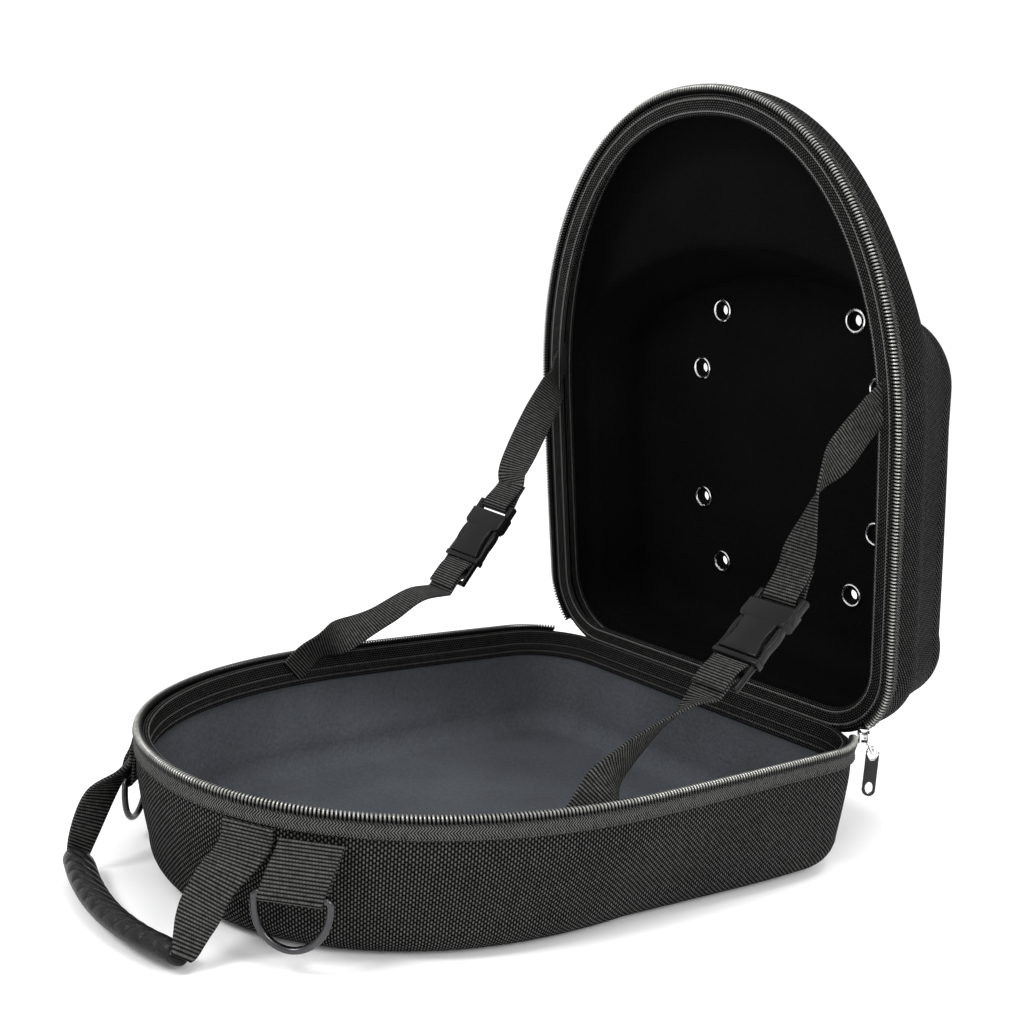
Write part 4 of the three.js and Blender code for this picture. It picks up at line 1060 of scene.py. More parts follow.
def cut_eyelets(obj):
    """Bore the eyelets' holes through the crown's plate"""
    tools = []
    radius = EYELET_BORE * MM
    for x, y in eyelet_places():
        bm = bmesh.new()
        bmesh.ops.create_cone(bm, cap_ends=True, segments=40, radius1=radius, radius2=radius, depth=0.03)
        bmesh.ops.translate(bm, verts=bm.verts, vec=(x * MM, y * MM, LID_DEPTH * MM))
        tool = bpy.data.meshes.new("bore")
        bm.to_mesh(tool)
        bm.free()
        tools.append(tool)
    bore = linked("bores", joined("bores", tools))
    cut = obj.modifiers.new("Eyelets", "BOOLEAN")
    cut.operation = "DIFFERENCE"
    cut.solver = "EXACT"
    cut.object = bore
    applied(obj)
    bpy.data.objects.remove(bore)
    obj.data.shade_smooth()
    obj.data.set_sharp_from_angle(angle=SHARP)


def rim_path(out, depth, side, open_run):
    """Points round the rim, all the way or only as far as the zip runs"""
    ring = OUTLINE.ring(out, side * depth)
    return ring[OUTLINE.span()] if open_run else ring


def band_grid(section, side, open_run, times=2):
    """Rows of a rim band's rounded section, given as out and depth"""
    rounded = smoothed_outline(section, times)
    return np.array([rim_path(out, depth, side, open_run) for out, depth in rounded]).transpose(1, 0, 2)


BASE_TAPE = (
    (0.35, 1.2), (1.0, 1.3), (1.5, 2.2), (1.6, 5.6), (1.6, 7.6), (1.35, 8.6), (0.8, 8.7), (0.35, 8.2),
    (0.3, 4.5),
)
LID_TAPE = (
    (0.35, 1.2), (1.0, 1.3), (1.5, 2.0), (1.55, 3.2), (1.35, 4.2), (0.8, 4.4), (0.35, 4.0), (0.3, 3.0),
)
CORE_SECTION = ((-1.2, -0.9), (0.8, -0.9), (1.2, 0.2), (1.1, 1.5), (0.35, 1.6), (0.3, 2.5), (-1.6, 2.4))
BASE_INNER = (
    (-2.2, 0.9), (-2.4, 2.3), (-3.9, 2.5), (-4.0, 10.5), (-5.1, 10.5), (-5.45, 9.6), (-5.3, 6.0),
    (-5.35, 2.4), (-4.7, 1.0), (-3.6, 0.5),
)
LID_INNER = (
    (-2.2, 0.5), (-3.2, -0.3), (-7.5, 0.0), (-13.0, 1.0), (-14.2, 1.8), (-13.6, 2.6), (-12.6, 2.4),
    (-6.2, 2.0), (-3.6, 1.9), (-2.3, 1.6),
)
BINDING_SECTION = (
    (-4.0, 11.0), (-4.0, 17.0), (-5.1, 17.1), (-5.7, 16.2), (-5.5, 14.0), (-5.7, 11.8), (-5.1, 10.9),
)

# Each half's way from the rim, place, tape, depth of the tape's seam, inner tape, its seams and their finish
RIMS = {
    "base": (-1, BASE_FRAME, BASE_TAPE, 7.8, BASE_INNER, ((-5.1, 1.4), (-5.4, 9.4)), "tape"),
    "lid": (1, LID_FRAME, LID_TAPE, 3.6, LID_INNER, ((-5.0, -0.1), (-11.6, 0.6)), "thread"),
}
BINDING_SEAMS = ((-5.6, 14.0),)


def with_rows(name, body, rows):
    """One mesh from a body and its rows, which take the second finish"""
    whole = joined(name, [body, *rows])
    for polygon in whole.polygons[len(body.polygons):]:
        polygon.material_index = 1
    return whole


class HATCASE_OT_shells(bpy.types.Operator):
    """Moulded base and lid with their brushed linings"""

    bl_idname = "hatcase.shells"
    bl_label = "Shells and Linings"

    def execute(self, context):
        finishes = {"base_shell": "shell", "lid_shell": "lid"}
        for half, surface, place in (("base", base_surface(), BASE_FRAME), ("lid", lid_surface(), LID_FRAME)):
            walls = (("shell", 0, SHELL_WALL, "shell_cloth"), ("lining", LINING_OUT, LINING_IN, "lining"))
            for kind, outer, inner, slot in walls:
                name = f"{half}_{kind}"
                obj = linked(f"{name}_cloth", grid_mesh(f"{name}_cloth", shell_grid(surface, outer, inner)))
                if half == "lid":
                    cut_eyelets(obj)
                moved(obj.data, place)
                finished(obj, "case", slot, [name], look(context, finishes.get(name, name)))
        return {"FINISHED"}


class HATCASE_OT_zip(bpy.types.Operator):
    """Zip tapes and coil teeth round both rims"""

    bl_idname = "hatcase.zip"
    bl_label = "Zip Tapes and Teeth"

    def execute(self, context):
        sizes = context.scene.hat_case_sizes
        cloth = look(context, "tape")
        nylon = look(context, "teeth")
        for half, (side, place, section, seam, *_) in RIMS.items():
            name = f"{half}_zip_tape_cloth"
            tape = grid_mesh(name, band_grid(section, side, True))
            stitch = stitch_mesh(2.4, 0.4, 0.26, -90)
            seam_path = rim_path(1.6, seam, side, True)
            row = path_row("tape_row", seam_path, stitch, sizes.stitch_pitch, cloth, jitter=0.05)
            whole = joined(name, [tape, row])
            add_piece(name, moved(whole, place), "case", "tape", f"{half}_zip_tape", cloth)
            core = grid_mesh("core", band_grid(CORE_SECTION, side, True, times=1))
            tooth = tooth_mesh()
            if side > 0:
                tooth.transform(Matrix.Diagonal((1, 1, -1, 1)))
                tooth.flip_normals()
            teeth = path_row("teeth_row", rim_path(0, 0, side, True), tooth, sizes.tooth_pitch, nylon)
            name = f"{half}_zip_teeth"
            whole = moved(with_rows(f"{name}_coil", core, [teeth]), place)
            add_piece(f"{name}_coil", whole, "case", "zip_teeth", name, look(context, "matte"), nylon)
        return {"FINISHED"}


class HATCASE_OT_bindings(bpy.types.Operator):
    """Ribbed bands and stitched bindings inside both rims"""

    bl_idname = "hatcase.bindings"
    bl_label = "Inner Tapes and Bindings"

    def execute(self, context):
        pitch = context.scene.hat_case_sizes.tooth_pitch
        for half, (side, place, _, _, inner, seams, finish) in RIMS.items():
            thread = look(context, finish)
            bands = (
                ("inner_tape", inner, seams, 1.7, pitch),
                ("binding", BINDING_SECTION, BINDING_SEAMS, 2.6, pitch * 1.25),
            )
            for kind, section, rows, length, spacing in bands:
                name = f"{half}_{kind}"
                band = grid_mesh(f"{name}_cloth", band_grid(section, side, False), loop=True)
                sewn = []
                for out, depth in rows:
                    stitch = stitch_mesh(length, 0.75, 0.36, 90)
                    path = rim_path(out, depth, side, False)
                    row = path_row("stitch_row", path, stitch, spacing, thread, closed=True, jitter=0.05)
                    sewn.append(row)
                whole = moved(with_rows(f"{name}_cloth", band, sewn), place)
                add_piece(f"{name}_cloth", whole, "case", "tape", name, look(context, "band"), thread)
        return {"FINISHED"}


class HATCASE_OT_hinge(bpy.types.Operator):
    """Cloth strips that hinge the lid at the back"""

    bl_idname = "hatcase.hinge"
    bl_label = "Hinge Cloths"

    def execute(self, context):
        low = BASE_DEPTH - RIM_TOP + GAP
        left = CASE_LENGTH / 2 - TEETH_HALF
        right = (LID_FRAME @ Vector((0, -TEETH_HALF - 0.3, 0.8)))[1] - 0.4
        middle = (left + right) / 2
        strip = [(left, low), (right, low), (right, low + 1), (middle, low + 0.7), (left, low + 1.2)]
        back = CASE_LENGTH / 2 + GAP
        corners = ((0.3, RIM_TOP), (1.5, RIM_TOP), (0.3, BRIM_START), (1.5, BRIM_START))
        near, turn, far, edge = (LID_FRAME @ Vector((0, out, depth)) for out, depth in corners)
        wrap = [
            (back, BASE_DEPTH - 24), (back + 1.2, BASE_DEPTH - 24), (back + 1.5, turn[2] - 3),
            (back + 2.4, turn[2] - 0.8), (turn[1] + 3, turn[2]), (edge[1], edge[2]), (far[1], far[2]),
            (near[1], near[2]), (back, near[2]),
        ]
        cloths = (("inner", strip, "tape", "tape"), ("outer", wrap, "shell", "shell_cloth"))
        for kind, section, finish, slot in cloths:
            ring = np.array(smoothed_outline(section, 1))
            rows = [np.column_stack([np.full(len(ring), x), ring]) for x in np.linspace(-BACK_X, BACK_X, 60)]
            name = f"hinge_cloth_{kind}"
            mesh = grid_mesh(f"{name}_strip", np.array(rows))
            add_piece(f"{name}_strip", mesh, "case", slot, name, look(context, finish))
        return {"FINISHED"}


class HATCASE_OT_eyelets(bpy.types.Operator):
    """Rolled metal eyelets through the crown's top"""

    bl_idname = "hatcase.eyelets"
    bl_label = "Eyelets"

    def execute(self, context):
        low = LID_DEPTH - LINING_IN - 0.15
        high = LID_DEPTH + 0.15
        rolled = [(r, low - d) for r, d in EYELET_PROFILE]
        above = [(r, high + low - z) for r, z in reversed(rolled)]
        radius, height = np.array([*rolled, (4.6, low), (4.6, high), *above]).T
        turns = [2 * math.pi * k / 48 for k in range(48)]
        for number, (x, y) in enumerate(eyelet_places(), 1):
            rows = [
                np.column_stack([x + radius * math.cos(a), y + radius * math.sin(a), height]) for a in turns
            ]
            name = f"lid_eyelet_{number}"
            mesh = grid_mesh(f"{name}_rolled", np.array(rows), loop=True)
            # Throat faces take the matte black: painted shade inside the metal barrel
            for polygon in mesh.polygons:
                away = math.hypot(polygon.center[0] / MM - x, polygon.center[1] / MM - y)
                polygon.material_index = int(away < EYELET_PAINTED_SHADE_RADIUS)
            looks = look(context, "steel"), look(context, "matte")
            add_piece(f"{name}_rolled", moved(mesh, LID_FRAME), "case", "bright_metal", name, *looks)
        return {"FINISHED"}


# Tabs, rings and handle


def nose_place(out, sign):
    """Rim point on the nose with its sideways and outward directions"""
    share = math.acos(min(max(out ** (NOSE_EXPONENT / 2), 0), 1)) / (math.pi / 2)
    x, y = nose_point(share)
    ax, ay = nose_point(share - 0.01)
    bx, by = nose_point(share + 0.01)
    side = unit((ax - bx, ay - by, 0))
    out_way = np.array((side[1], -side[0], 0.0))
    side[0] *= sign
    out_way[0] *= sign
    return np.array((sign * x, y + CASE_LENGTH / 2, BASE_DEPTH)), side, out_way


def tab_place(name, sign):
    at, side, out_way = nose_place(TAB_OUT, sign)
    down = unit(np.array((0, 0, -1)) - TAB_SLANT * side + TAB_STAND[name] * out_way)
    through = unit(np.cross(down, side))
    if through @ out_way < 0:
        through = -through
    start = at + out_way * (GAP + TAB_THICK / 2 + TAB_SEAT) - np.array((0, 0, BAND_DEPTH + 1))
    return start, side, down, through


def tab_grid(name, sign):
    start, side, down, through = tab_place(name, sign)
    eye = RING_WIRE / 2 + GAP + TAB_THICK / 2
    rows = [(0, TAB_THICK + GAP), (TAB_DROP * 0.3, TAB_THICK + 0.5), (TAB_DROP * 0.6, eye + 0.8)]
    for k in range(13):
        a = math.radians(90 - 15 * k)
        rows.append((TAB_DROP + eye * math.cos(a), eye * math.sin(a)))
    rows += [(TAB_DROP * 0.6, -eye * 0.4), (TAB_DROP * 0.3, -0.2), (0, 0)]
    points = catmull([start + down * d + through * o for d, o in rows], 90)
    return sweep(points, facing(side, len(points)), webbing_section(TAB_WIDTH, TAB_THICK), sheared=True)


def ring_grid(name, sign):
    """Round wire along the D-ring's loop: its bar, two tight corners and the bowl"""
    start, side, down, _ = tab_place(name, sign)
    centre = start + down * TAB_DROP
    half = TAB_WIDTH / 2 + 0.8 + RING_WIRE / 2
    bowl = RING_DROP - RING_WIRE / 2
    corner = 2.4
    inside = half - corner
    loop = [
        *[(half * (k / 4 - 1) * 0.92, 0.0) for k in range(9)],
        *arc(inside, corner, corner, corner, -75, 0, 5),
        *arc(0, 4, half, bowl - 4, 0, 180, 32),
        *arc(-inside, corner, corner, corner, 195, 270, 5),
    ]
    hang = np.array((0.0, 0.0, -1.0))
    points = np.array([centre + side * a + hang * d for a, d in loop])
    through = unit(np.cross(hang, side))
    travel = np.roll(points, -1, axis=0) - np.roll(points, 1, axis=0)
    travel /= np.linalg.norm(travel, axis=1)[:, None]
    outside = np.cross(travel, through)
    turns = np.linspace(0, 2 * math.pi, 16, endpoint=False)[None, :, None]
    return points[:, None] + RING_WIRE / 2 * (np.cos(turns) * outside[:, None] + np.sin(turns) * through)


class HATCASE_OT_rings(bpy.types.Operator):
    """Folded webbing tabs and the D-rings that hang in them"""

    bl_idname = "hatcase.rings"
    bl_label = "Tabs and D-Rings"

    def execute(self, context):
        for name, sign in SIDES:
            tab = f"ring_tab_{name}"
            mesh = grid_mesh(f"{tab}_fold", tab_grid(name, sign))
            add_piece(f"{tab}_fold", mesh, "case", "webbing", tab, look(context, "webbing"))
            ring = f"d_ring_{name}"
            mesh = grid_mesh(f"{ring}_wire", ring_grid(name, sign), loop=True)
            add_piece(f"{ring}_wire", mesh, ring, "dark_metal", ring, look(context, "gunmetal"))
        return {"FINISHED"}


def handle_point(row):
    across, forward, up = row
    return np.array((across * HALF, -CASE_LENGTH / 2 - forward, GRIP_LOW + up))


def grip_route(steps):
    return catmull([handle_point(row) for row in GRIP_ROUTE], steps)


def grip_grid(pleats):
    """Padded grip with a smooth outer band, pleats on its inner side and sunk ends"""
    route = grip_route(260)
    travel = directions(route)
    normal = np.cross(unit(GRIP_TILT), travel)
    normal /= np.linalg.norm(normal, axis=1)[:, None]
    wide = np.cross(travel, normal)
    turns = np.linspace(0, 2 * math.pi, 40, endpoint=False)
    run = np.concatenate([[0], np.cumsum(np.linalg.norm(np.diff(route, axis=0), axis=1))])
    share = run / run[-1]
    rows = []
    for i, place in enumerate(route):
        end = min(share[i], 1 - share[i])
        pinch = 1 - 0.12 * max(1 - end / 0.05, 0) ** 2
        ring = []
        for a in turns:
            c, s = math.cos(a), math.sin(a)
            x = GRIP_WIDTH / 2 * math.copysign(abs(c) ** 0.75, c)
            y = GRIP_THICK / 2 * math.copysign(abs(s) ** 0.75, s)
            inner = max(s * 0.9 - c * 0.45 - 0.2, 0)
            wave = abs(math.sin(math.pi * (share[i] * pleats / 2 + 0.7 * c)))
            fall = PLEAT_DEPTH * inner * (1 - wave) ** 1.5 * min(end / 0.06, 1)
            ring.append(place + wide[i] * x * (1 - fall / 9) * pinch + normal[i] * y * (1 - fall / 5) * pinch)
        rows.append(ring)
    return add_pockets(np.array(rows), route)


def add_pockets(grid, route):
    """Carry both end rings inward to a flat mouth and down into a pocket"""
    caps = []
    for rows, way in ((grid[0], route[0] - route[6]), (grid[-1], route[-1] - route[-7])):
        middle = rows.mean(axis=0)
        way = unit(way)
        mouth = middle + (rows - middle) * 0.8 + way * 0.5
        slot = middle + (rows - middle) @ squeeze(way)
        caps.append((mouth, slot, slot - way * 7))
    first, last = caps
    return np.concatenate([np.array(first[::-1]), grid, np.array(last)])


def squeeze(way):
    """Matrix that narrows an end ring to the webbing's slot"""
    wide = unit(np.cross(np.cross(way, unit(GRIP_TILT)), way))
    thin = unit(np.cross(wide, way))
    return 0.78 * np.outer(wide, wide) + 0.34 * np.outer(thin, thin)


def handle_grid(name, sign):
    """Webbing end from under the zip tape, over its bends and into the grip"""
    at, side, out_way = nose_place(HANDLE_OUT, sign)
    down = np.array((0.0, 0.0, -1.0))
    route = grip_route(12)
    end, inner = (route[0], route[1]) if sign > 0 else (route[-1], route[-2])
    away = unit(end - inner)
    seat = GAP + HANDLE_THICK / 2 + HANDLE_SEAT
    points = [
        at + out_way * seat + down * (BAND_DEPTH - 2), at + out_way * (seat + 1.5) + down * (BAND_DEPTH + 7),
        *[handle_point(row) for row in HANDLE_BENDS[name]],
        end + away * 2.5, end, end - away * (GRIP_POCKET - 3),
    ]
    tilt = unit(GRIP_TILT)
    middle = unit(HANDLE_MID_WIDE[name])
    wides = [side, side, middle, middle + (tilt - middle) * 0.6, tilt, tilt, tilt]
    steps = 110
    path, turned = smooth_route(points, wides, steps)
    shares = np.clip((np.arange(steps + 1) / steps * 18 - 5) / 7, 0, 1)
    widths = 1 + (HANDLE_NARROW / HANDLE_WIDTH - 1) * shares
    return sweep(path, turned, webbing_section(HANDLE_WIDTH, HANDLE_THICK), sheared=True, widths=widths)


class HATCASE_OT_handle(bpy.types.Operator):
    """Carry handle: pleated grip and its two webbing ends"""

    bl_idname = "hatcase.handle"
    bl_label = "Carry Handle"

    def execute(self, context):
        grip = grid_mesh("handle_grip_skin", grip_grid(context.scene.hat_case_sizes.pleats))
        add_piece("handle_grip_skin", grip, "case", "grip_skin", "handle_grip", look(context, "grip"))
        for name, sign in SIDES:
            end = f"handle_webbing_{name}"
            mesh = grid_mesh(f"{end}_strap", handle_grid(name, sign))
            add_piece(f"{end}_strap", mesh, "case", "webbing", end, look(context, "webbing"))
        return {"FINISHED"}


# Stay straps and buckles


def stay_point(row, sign):
    out, back, up = row
    return np.array((sign * out * HALF, CASE_LENGTH / 2 - back * CASE_LENGTH, BASE_DEPTH + up * CASE_LENGTH))


def axes_matrix(x, y, z, place):
    """Matrix with the given axes and place"""
    matrix = Matrix([[float(n) for n in way] for way in (x, y, z)]).transposed().to_4x4()
    matrix.translation = place
    return matrix


def buckle_frame(stay):
    back, up, roll = stay["aim"]
    along = unit((0, back, up))
    through = unit(np.cross((1, 0, -roll), along))
    across = unit(np.cross(along, through))
    return axes_matrix(across, along, through, stay_point(stay["top"], stay["sign"]))


def half_width(y):
    if y > -WIDEST:
        return side_x(y)
    share = min(max((-y - WIDEST) / (CASE_LENGTH - WIDEST), 0), 1)
    return HALF * (1 - share ** NOSE_EXPONENT) ** (1 / NOSE_EXPONENT)


def stay_anchor(along, sign):
    """Sewn place of a stay on the inner tape and its width direction, at the rim"""
    y = -along * CASE_LENGTH
    reach = STRAP_WIDTH / 2
    wide = unit((half_width(y - reach) - half_width(y + reach), -2 * reach, 0))
    at = np.array((half_width(y), y, 0)) + np.array((wide[1], -wide[0], 0)) * STAY_SEAT
    return at * (sign, 1, 1), wide * (sign, 1, 1)


def bar_turn():
    wrap = BAR * math.sqrt(0.5) + GAP + STRAP_THICK / 2
    return arc(BAR / 2, 0, wrap, wrap, -90, 90, 8)


def tilted(rows, degrees):
    """Along and through rows turned round the socket's bar"""
    c, s = math.cos(math.radians(degrees)), math.sin(math.radians(degrees))
    return [(BAR / 2 + (a - BAR / 2) * c - t * s, (a - BAR / 2) * s + t * c) for a, t in rows]


def local_points(place, rows):
    return [np.array(place @ Vector((0, a, t))) for a, t in rows]


def upper_strap(stay, place):
    """From its sewn end on the lid over its bends to the fold round the socket's bar"""
    sign = stay["sign"]
    at, wide = stay_anchor(STAY_TOP_ALONG, sign)
    seams = [at + (-sign * shift, -rise, depth) for shift, rise, depth in stay["sewn"]]
    sewn = [np.array(LID_FRAME @ Vector(seam)) for seam in seams]
    lid_wide = np.array(LID_FRAME.to_3x3() @ Vector(wide))
    across = np.array(place.to_3x3() @ Vector((1, 0, 0)))
    end = local_points(place, tilted(UPPER_END, stay["fold"]))
    points = [*sewn, *[stay_point(p, sign) for p, _ in stay["upper"]], end[0]]
    wides = [lid_wide * sign] * len(sewn) + [unit(w) for _, w in stay["upper"]] + [across]
    path, turned = smooth_route(points, wides, 130)
    rows = [*UPPER_END[1:], *bar_turn(), *UPPER_FOLD]
    fold = catmull([path[-2], path[-1], *local_points(place, tilted(rows, stay["fold"]))], 110)[8:]
    return np.vstack([path, fold]), np.vstack([turned, facing(across, len(fold))])


def lower_strap(stay, place):
    """From its sewn end in the base over its bends and through the prong's ladder"""
    sign = stay["sign"]
    at, wide = stay_anchor(STAY_FOOT_ALONG, sign)
    seam = np.array(BASE_FRAME @ Vector(at))
    across = np.array(place.to_3x3() @ Vector((1, 0, 0))) * sign
    loop = local_points(place, LOWER_LOOP)
    sewn = [seam + (0, *STAY_FOOT), seam + (-sign * 1.2, 3, 3.5)]
    points = [*sewn, *[stay_point(p, sign) for p, _ in stay["lower"]], loop[0]]
    wides = [wide, wide, *[unit(w) for _, w in stay["lower"]], across]
    path, turned = smooth_route(points, wides, 110)
    turn = catmull(loop, 110)[1:]
    return np.vstack([path, turn]), np.vstack([turned, facing(across, len(turn))])


class HATCASE_OT_stays(bpy.types.Operator):
    """Stay straps from the lid to the buckles and from the buckles to the base"""

    bl_idname = "hatcase.stays"
    bl_label = "Stay Straps"

    def execute(self, context):
        section = webbing_section(STRAP_WIDTH, STRAP_THICK)
        for name, stay in STAYS.items():
            place = buckle_frame(stay)
            for part, maker in (("upper", upper_strap), ("lower", lower_strap)):
                strap = f"stay_strap_{part}_{name}"
                mesh = grid_mesh(f"{strap}_web", sweep(*maker(stay, place), section))
                add_piece(f"{strap}_web", mesh, "case", "webbing", strap, look(context, "webbing"))
        return {"FINISHED"}


# Side outline of the socket's tongue guide, then the spring arms of the prong
WAIST = ((9.9, 22.5), (9.2, 26), (9.6, 31), (10.8, 36), (11.4, BUCKLE_SOCKET))
ARM = (
    (ARM_IN, 12), (ARM_OUT - 0.6, 12), (ARM_OUT, 13.5), (ARM_OUT, BAND_END), (ARM_OUT + 0.9, 22),
    (ARM_OUT + 1.0, 27), (ARM_OUT + 0.3, 32), (BUCKLE_HALF - 0.5, 36.5), (BUCKLE_HALF - 0.5, 41),
    (11.9, 41), (11.9, 37),
    (ARM_IN + 0.4, 31), (ARM_IN, 22),
)


def side_plates(name, x0, x1, y0, y1, thick, bevel):
    """The same long plate on the right and on the left"""
    spans = ((x0, x1), (-x1, -x0))
    return [plate_mesh(name, box_outline(a, b, y0, y1), thick, bevel) for a, b in spans]


def socket_mesh(name):
    """Socket: bar frame, flat hollow band and a waisted tongue guide"""
    h = BUCKLE_HALF
    slot = box_outline(-SLOT_HALF, SLOT_HALF, BAR, SOCKET_BODY)
    bar_frame = plate_mesh(name, box_outline(-h, h, 0, SOCKET_BODY + 2), BAR, 0.9, [slot])
    rails = side_plates(name, SLOT_HALF + 0.6, h, 0.4, BAND_END - 4, 5.4, 1.2)
    edge = [
        (h - 0.5, SOCKET_BODY), (h, SOCKET_BODY + 1), (h, BAND_END - 2), (h - 1.5, BAND_END),
        (9.6, BAND_END + 0.6),
    ]
    band = plate_mesh(name, mirrored(edge), BUCKLE_THICK, 1.0)
    guide = plate_mesh(name, mirrored([(10, BAND_END - 4), (10, BAND_END), *WAIST]), BUCKLE_THICK - 0.2, 0.8)
    return joined(name, [bar_frame, *rails, band, guide])


def prong_mesh(name):
    """Prong: two sprung arms, the block and the ladder for the strap"""
    h = BUCKLE_HALF - 0.5
    parts = [plate_mesh(name, smoothed_outline([(s * x, y) for x, y in ARM], 1), 5.2, 1.1) for s in (1, -1)]
    parts.append(plate_mesh(name, box_outline(-h, h, BUCKLE_SOCKET + 0.4, 42.6), BUCKLE_THICK - 1.2, 1.1))
    rail = SLOT_HALF + 1.8
    holes = [box_outline(-SLOT_HALF, SLOT_HALF, *span) for span in ((42.4, 45), (48, BUCKLE_LENGTH - BAR))]
    parts.append(plate_mesh(name, box_outline(-rail, rail, 41, BUCKLE_LENGTH), 2.8, 0.7, holes))
    return joined(name, parts + side_plates(name, SLOT_HALF + 0.3, rail, 41.5, BUCKLE_LENGTH - 0.4, 3.8, 0.7))


class HATCASE_OT_buckles(bpy.types.Operator):
    """Side-release buckles of both stays, fastened"""

    bl_idname = "hatcase.buckles"
    bl_label = "Buckles"

    def execute(self, context):
        for side, stay in STAYS.items():
            for kind, maker in (("socket", socket_mesh), ("prong", prong_mesh)):
                buckle = f"buckle_{kind}_{side}"
                name = f"{buckle}_moulded"
                mesh = moved(maker(name), buckle_frame(stay))
                add_piece(name, mesh, "case", "buckle_plastic", buckle, look(context, "plastic"))
        return {"FINISHED"}


# Slider and pull


def slider_frames():
    """Places of the slider and of the pull on its bridge"""
    turn = math.radians(SLIDER_TURN)
    travel = Vector((math.sin(turn), -math.cos(turn), 0))
    out_way = Vector((math.cos(turn), math.sin(turn), 0))
    up = Vector((0, 0, 1))
    corner = Vector((BACK_X, CASE_LENGTH / 2 - HINGE_CORNER, BASE_DEPTH + SLIDER_RISE))
    slider = axes_matrix(-travel, up, out_way, corner + out_way * (HINGE_CORNER + SLIDER_OFF))
    bridge = slider @ Vector((0, -BRIDGE_DOWN, BRIDGE_OUT))
    return slider, axes_matrix(out_way, up, out_way.cross(up), bridge)


def slider_mesh(name):
    """Slider body of two waisted plates on a post, with a bridge for the pull"""
    half = SLIDER_WIDTH / 2
    reach = SLIDER_LENGTH / 2
    edge = [(-reach, -half * 0.62), (-1, -half * 0.9), (0.5, -half), (reach, -half)]
    waist = smoothed_outline([*edge, *[(x, -y) for x, y in reversed(edge)]], 2)
    parts = []
    for z in (-SLIDER_THICK / 2 + 0.7, SLIDER_THICK / 2 - 0.7):
        wing = plate_mesh(name, waist, 1.4, 0.5)
        wing.transform(Matrix.Translation((0, 0, z * MM)))
        parts.append(wing)
    post = smoothed_outline([(0.5, -1.2), (reach - 0.2, -1.6), (reach - 0.2, 1.6), (0.5, 1.2)], 2)
    parts.append(plate_mesh(name, post, SLIDER_THICK, 0.3))
    for y in (-half + 0.5, half - 0.5):
        wall = box_outline(-0.5, reach - 0.4, y - 0.5, y + 0.5)
        parts.append(plate_mesh(name, wall, SLIDER_THICK - 0.6, 0.3))
    arch = [
        (-half + 2.4, 1.6), (-half + 1.2, 2.6), (-half, 3.3), (-BRIDGE_DOWN - 0.2, BRIDGE_OUT - 0.6),
        (-BRIDGE_DOWN - 0.3, BRIDGE_OUT),
    ]
    wire = BRIDGE_WIRE / 2
    for x in (-reach + 1.2, reach - 1.2):
        points = catmull([(x, y, z) for y, z in arch], 16)
        parts.append(grid_mesh(name, sweep(points, facing((1, 0, 0), len(points)), round_section(wire, 10))))
    bar = np.array([(x, -BRIDGE_DOWN, BRIDGE_OUT) for x in np.linspace(-reach + 0.6, reach - 0.6, 9)])
    parts.append(grid_mesh(name, sweep(bar, facing((0, 1, 0), len(bar)), round_section(wire, 12))))
    return joined(name, parts)


def pull_mesh(name):
    """Pull tab with a window round the bridge and an oval hole at its low end"""
    half = PULL_WIDTH / 2
    low = PULL_HEAD + half - PULL_LENGTH
    outline = arc(0, PULL_HEAD - half, half, half, 0, 180, 20) + arc(0, low, half, half, 180, 360, 20)
    edge = [(1.7, -4.6), (-1.7, -4.6), (-1.6, 0.6), (-1.0, 1.2), (1.0, 1.2), (1.6, 0.6)]
    window = smoothed_outline(edge, 1)
    oval = arc(0, low + 1.2, 1.9, 3.0, 0, 345, 23)
    mesh = plate_mesh(name, outline, PULL_THICK, 0.35, [window, oval])
    for polygon in mesh.polygons:
        middle = polygon.center / MM
        bright = abs(polygon.normal[2]) < 0.92
        polygon.material_index = 1 if bright or (middle[1] > -6.2 and abs(middle[0]) < 2.6) else 0
    return mesh


class HATCASE_OT_slider(bpy.types.Operator):
    """Zip slider at the near hinge corner and its pull"""

    bl_idname = "hatcase.slider"
    bl_label = "Slider and Pull"

    def execute(self, context):
        slider, pull = slider_frames()
        steel = look(context, "steel")
        body = moved(slider_mesh("zip_slider_cast"), slider)
        add_piece("zip_slider_cast", body, "case", "bright_metal", "zip_slider", steel)
        tab = moved(pull_mesh("zip_pull_tab"), pull)
        add_piece("zip_pull_tab", tab, "zip_pull", "pull_metal", "zip_pull", look(context, "pull"), steel)
        return {"FINISHED"}


# Studio: name, place, target, size in metres and power in watts of each light
LIGHTS = (
    ("key_light", (0.1, -1.3, 1.3), (0, 0, 0.1), (0.45, 0.45), 16),
    ("side_light", (1.5, -0.1, 1.0), (0, 0.05, 0.15), (0.4, 0.6), 12),
    ("top_light", (0.4, 0.2, 1.8), (0, 0, 0.1), (0.6, 0.6), 12),
)
SKY_STRENGTH = 1.06
FLOOR_REACH = 6.0
FLOOR_HEIGHT = -0.0002


def add_light(name, place, target, size, power):
    data = bpy.data.lights.new(name, "AREA")
    data.shape = "RECTANGLE"
    data.size, data.size_y = size
    data.energy = power
    obj = linked(name, data)
    obj.location = place
    obj.rotation_euler = (Vector(target) - Vector(place)).to_track_quat("-Z", "Y").to_euler()


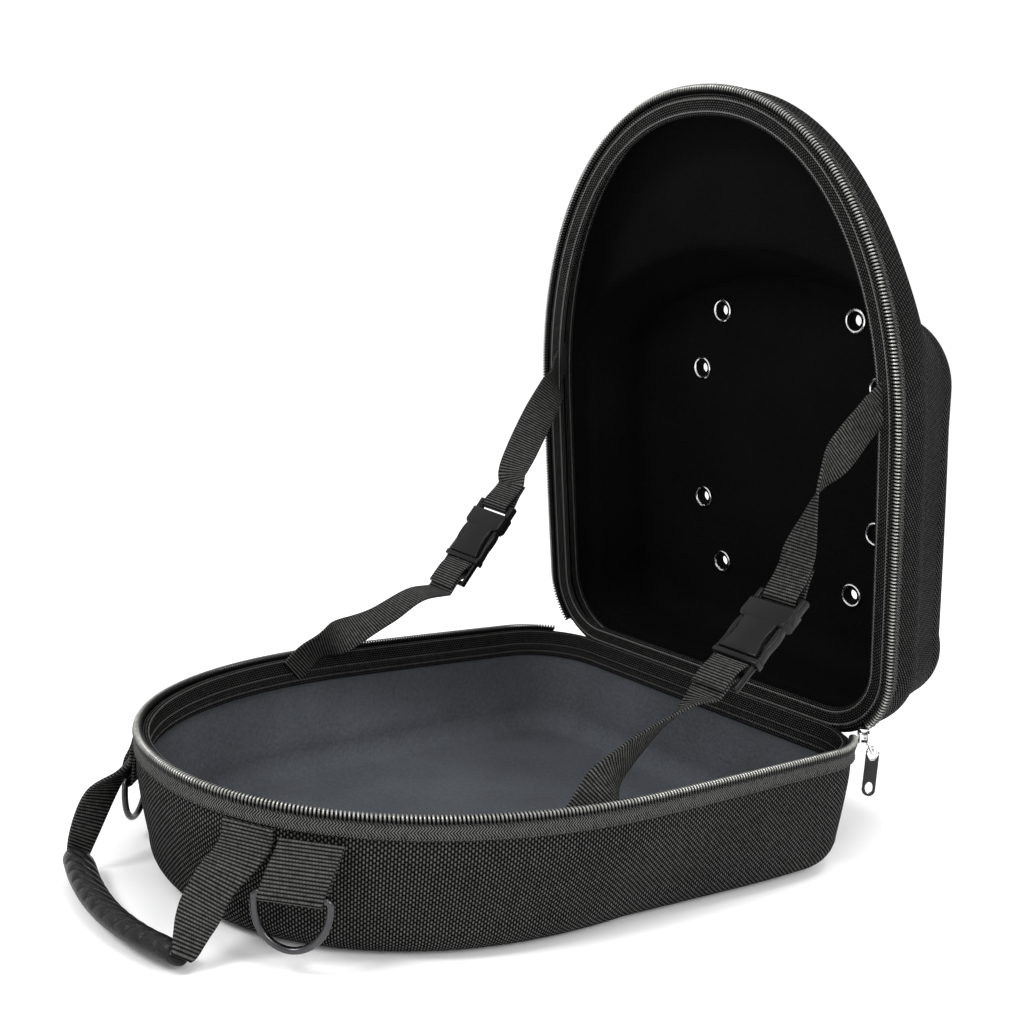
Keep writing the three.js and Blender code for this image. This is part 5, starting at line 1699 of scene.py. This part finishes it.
def add_camera():
    azimuth, elevation, roll = (math.radians(a) for a in CAMERA_ANGLES)
    level = Vector((math.cos(azimuth), math.sin(azimuth), 0))
    flat = math.cos(elevation)
    back = Vector((math.sin(azimuth) * flat, -math.cos(azimuth) * flat, math.sin(elevation)))
    rise = back.cross(level)
    right = level * math.cos(roll) + rise * math.sin(roll)
    up = rise * math.cos(roll) - level * math.sin(roll)
    data = bpy.data.cameras.new("studio_camera")
    data.lens = CAMERA_LENS
    data.sensor_width = 36
    data.sensor_fit = "HORIZONTAL"
    data.clip_end = 50
    obj = linked("studio_camera", data)
    obj.matrix_world = axes_matrix(right, up, back, CAMERA_PLACE)
    bpy.context.scene.camera = obj


def studio_floor(colour):
    mesh = bpy.data.meshes.new("studio_floor")
    signs = ((-1, -1), (1, -1), (1, 1), (-1, 1))
    corners = [(x * FLOOR_REACH, y * FLOOR_REACH, FLOOR_HEIGHT) for x, y in signs]
    mesh.from_pydata(corners, [], [(0, 1, 2, 3)])
    obj = linked("studio_floor", mesh)
    finish = Finish("Studio Floor", colour, 0.9, Specular_IOR_Level=0.1)
    finish.spread(finish.noise(3.0), 0.85, 0.95)
    mesh.materials.append(finish.material)


class HATCASE_OT_stage(bpy.types.Operator):
    """Pale floor, soft studio light and the camera"""

    bl_idname = "hatcase.stage"
    bl_label = "Studio"

    def execute(self, context):
        studio_floor(context.scene.hat_case_colours.floor)
        world = bpy.data.worlds.new("studio_world")
        world.use_nodes = True
        sky = world.node_tree.nodes["Background"].inputs
        sky["Color"].default_value = (1, 1, 1, 1)
        sky["Strength"].default_value = SKY_STRENGTH
        context.scene.world = world
        context.scene.view_settings.view_transform = "Standard"
        for light in LIGHTS:
            add_light(*light)
        add_camera()
        return {"FINISHED"}


class HATCASE_PT_panel(bpy.types.Panel):
    """Lists the case's pieces and settings"""

    bl_label = "Hat Travel Case"
    bl_idname = "HATCASE_PT_panel"
    bl_space_type = "VIEW_3D"
    bl_region_type = "UI"
    bl_category = "Hat Case"

    def draw(self, context):
        for group in (context.scene.hat_case_sizes, context.scene.hat_case_colours):
            for name in group.__annotations__:
                self.layout.prop(group, name)
        for operator in STEPS:
            self.layout.operator(operator.bl_idname)


STEPS = (
    HATCASE_OT_shells,
    HATCASE_OT_zip,
    HATCASE_OT_bindings,
    HATCASE_OT_hinge,
    HATCASE_OT_eyelets,
    HATCASE_OT_rings,
    HATCASE_OT_handle,
    HATCASE_OT_stays,
    HATCASE_OT_buckles,
    HATCASE_OT_slider,
    HATCASE_OT_stage,
)
CLASSES = (HatCaseSizes, HatCaseColours, *STEPS, HATCASE_PT_panel)


def register():
    for cls in CLASSES:
        bpy.utils.register_class(cls)
    bpy.types.Scene.hat_case_sizes = PointerProperty(type=HatCaseSizes)
    bpy.types.Scene.hat_case_colours = PointerProperty(type=HatCaseColours)


def unregister():
    del bpy.types.Scene.hat_case_colours
    del bpy.types.Scene.hat_case_sizes
    for cls in reversed(CLASSES):
        bpy.utils.unregister_class(cls)


def main():
    register()
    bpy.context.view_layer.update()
    for operator in STEPS:
        group, name = operator.bl_idname.split(".")
        getattr(getattr(bpy.ops, group), name)()


if __name__ == "__main__":
    main()
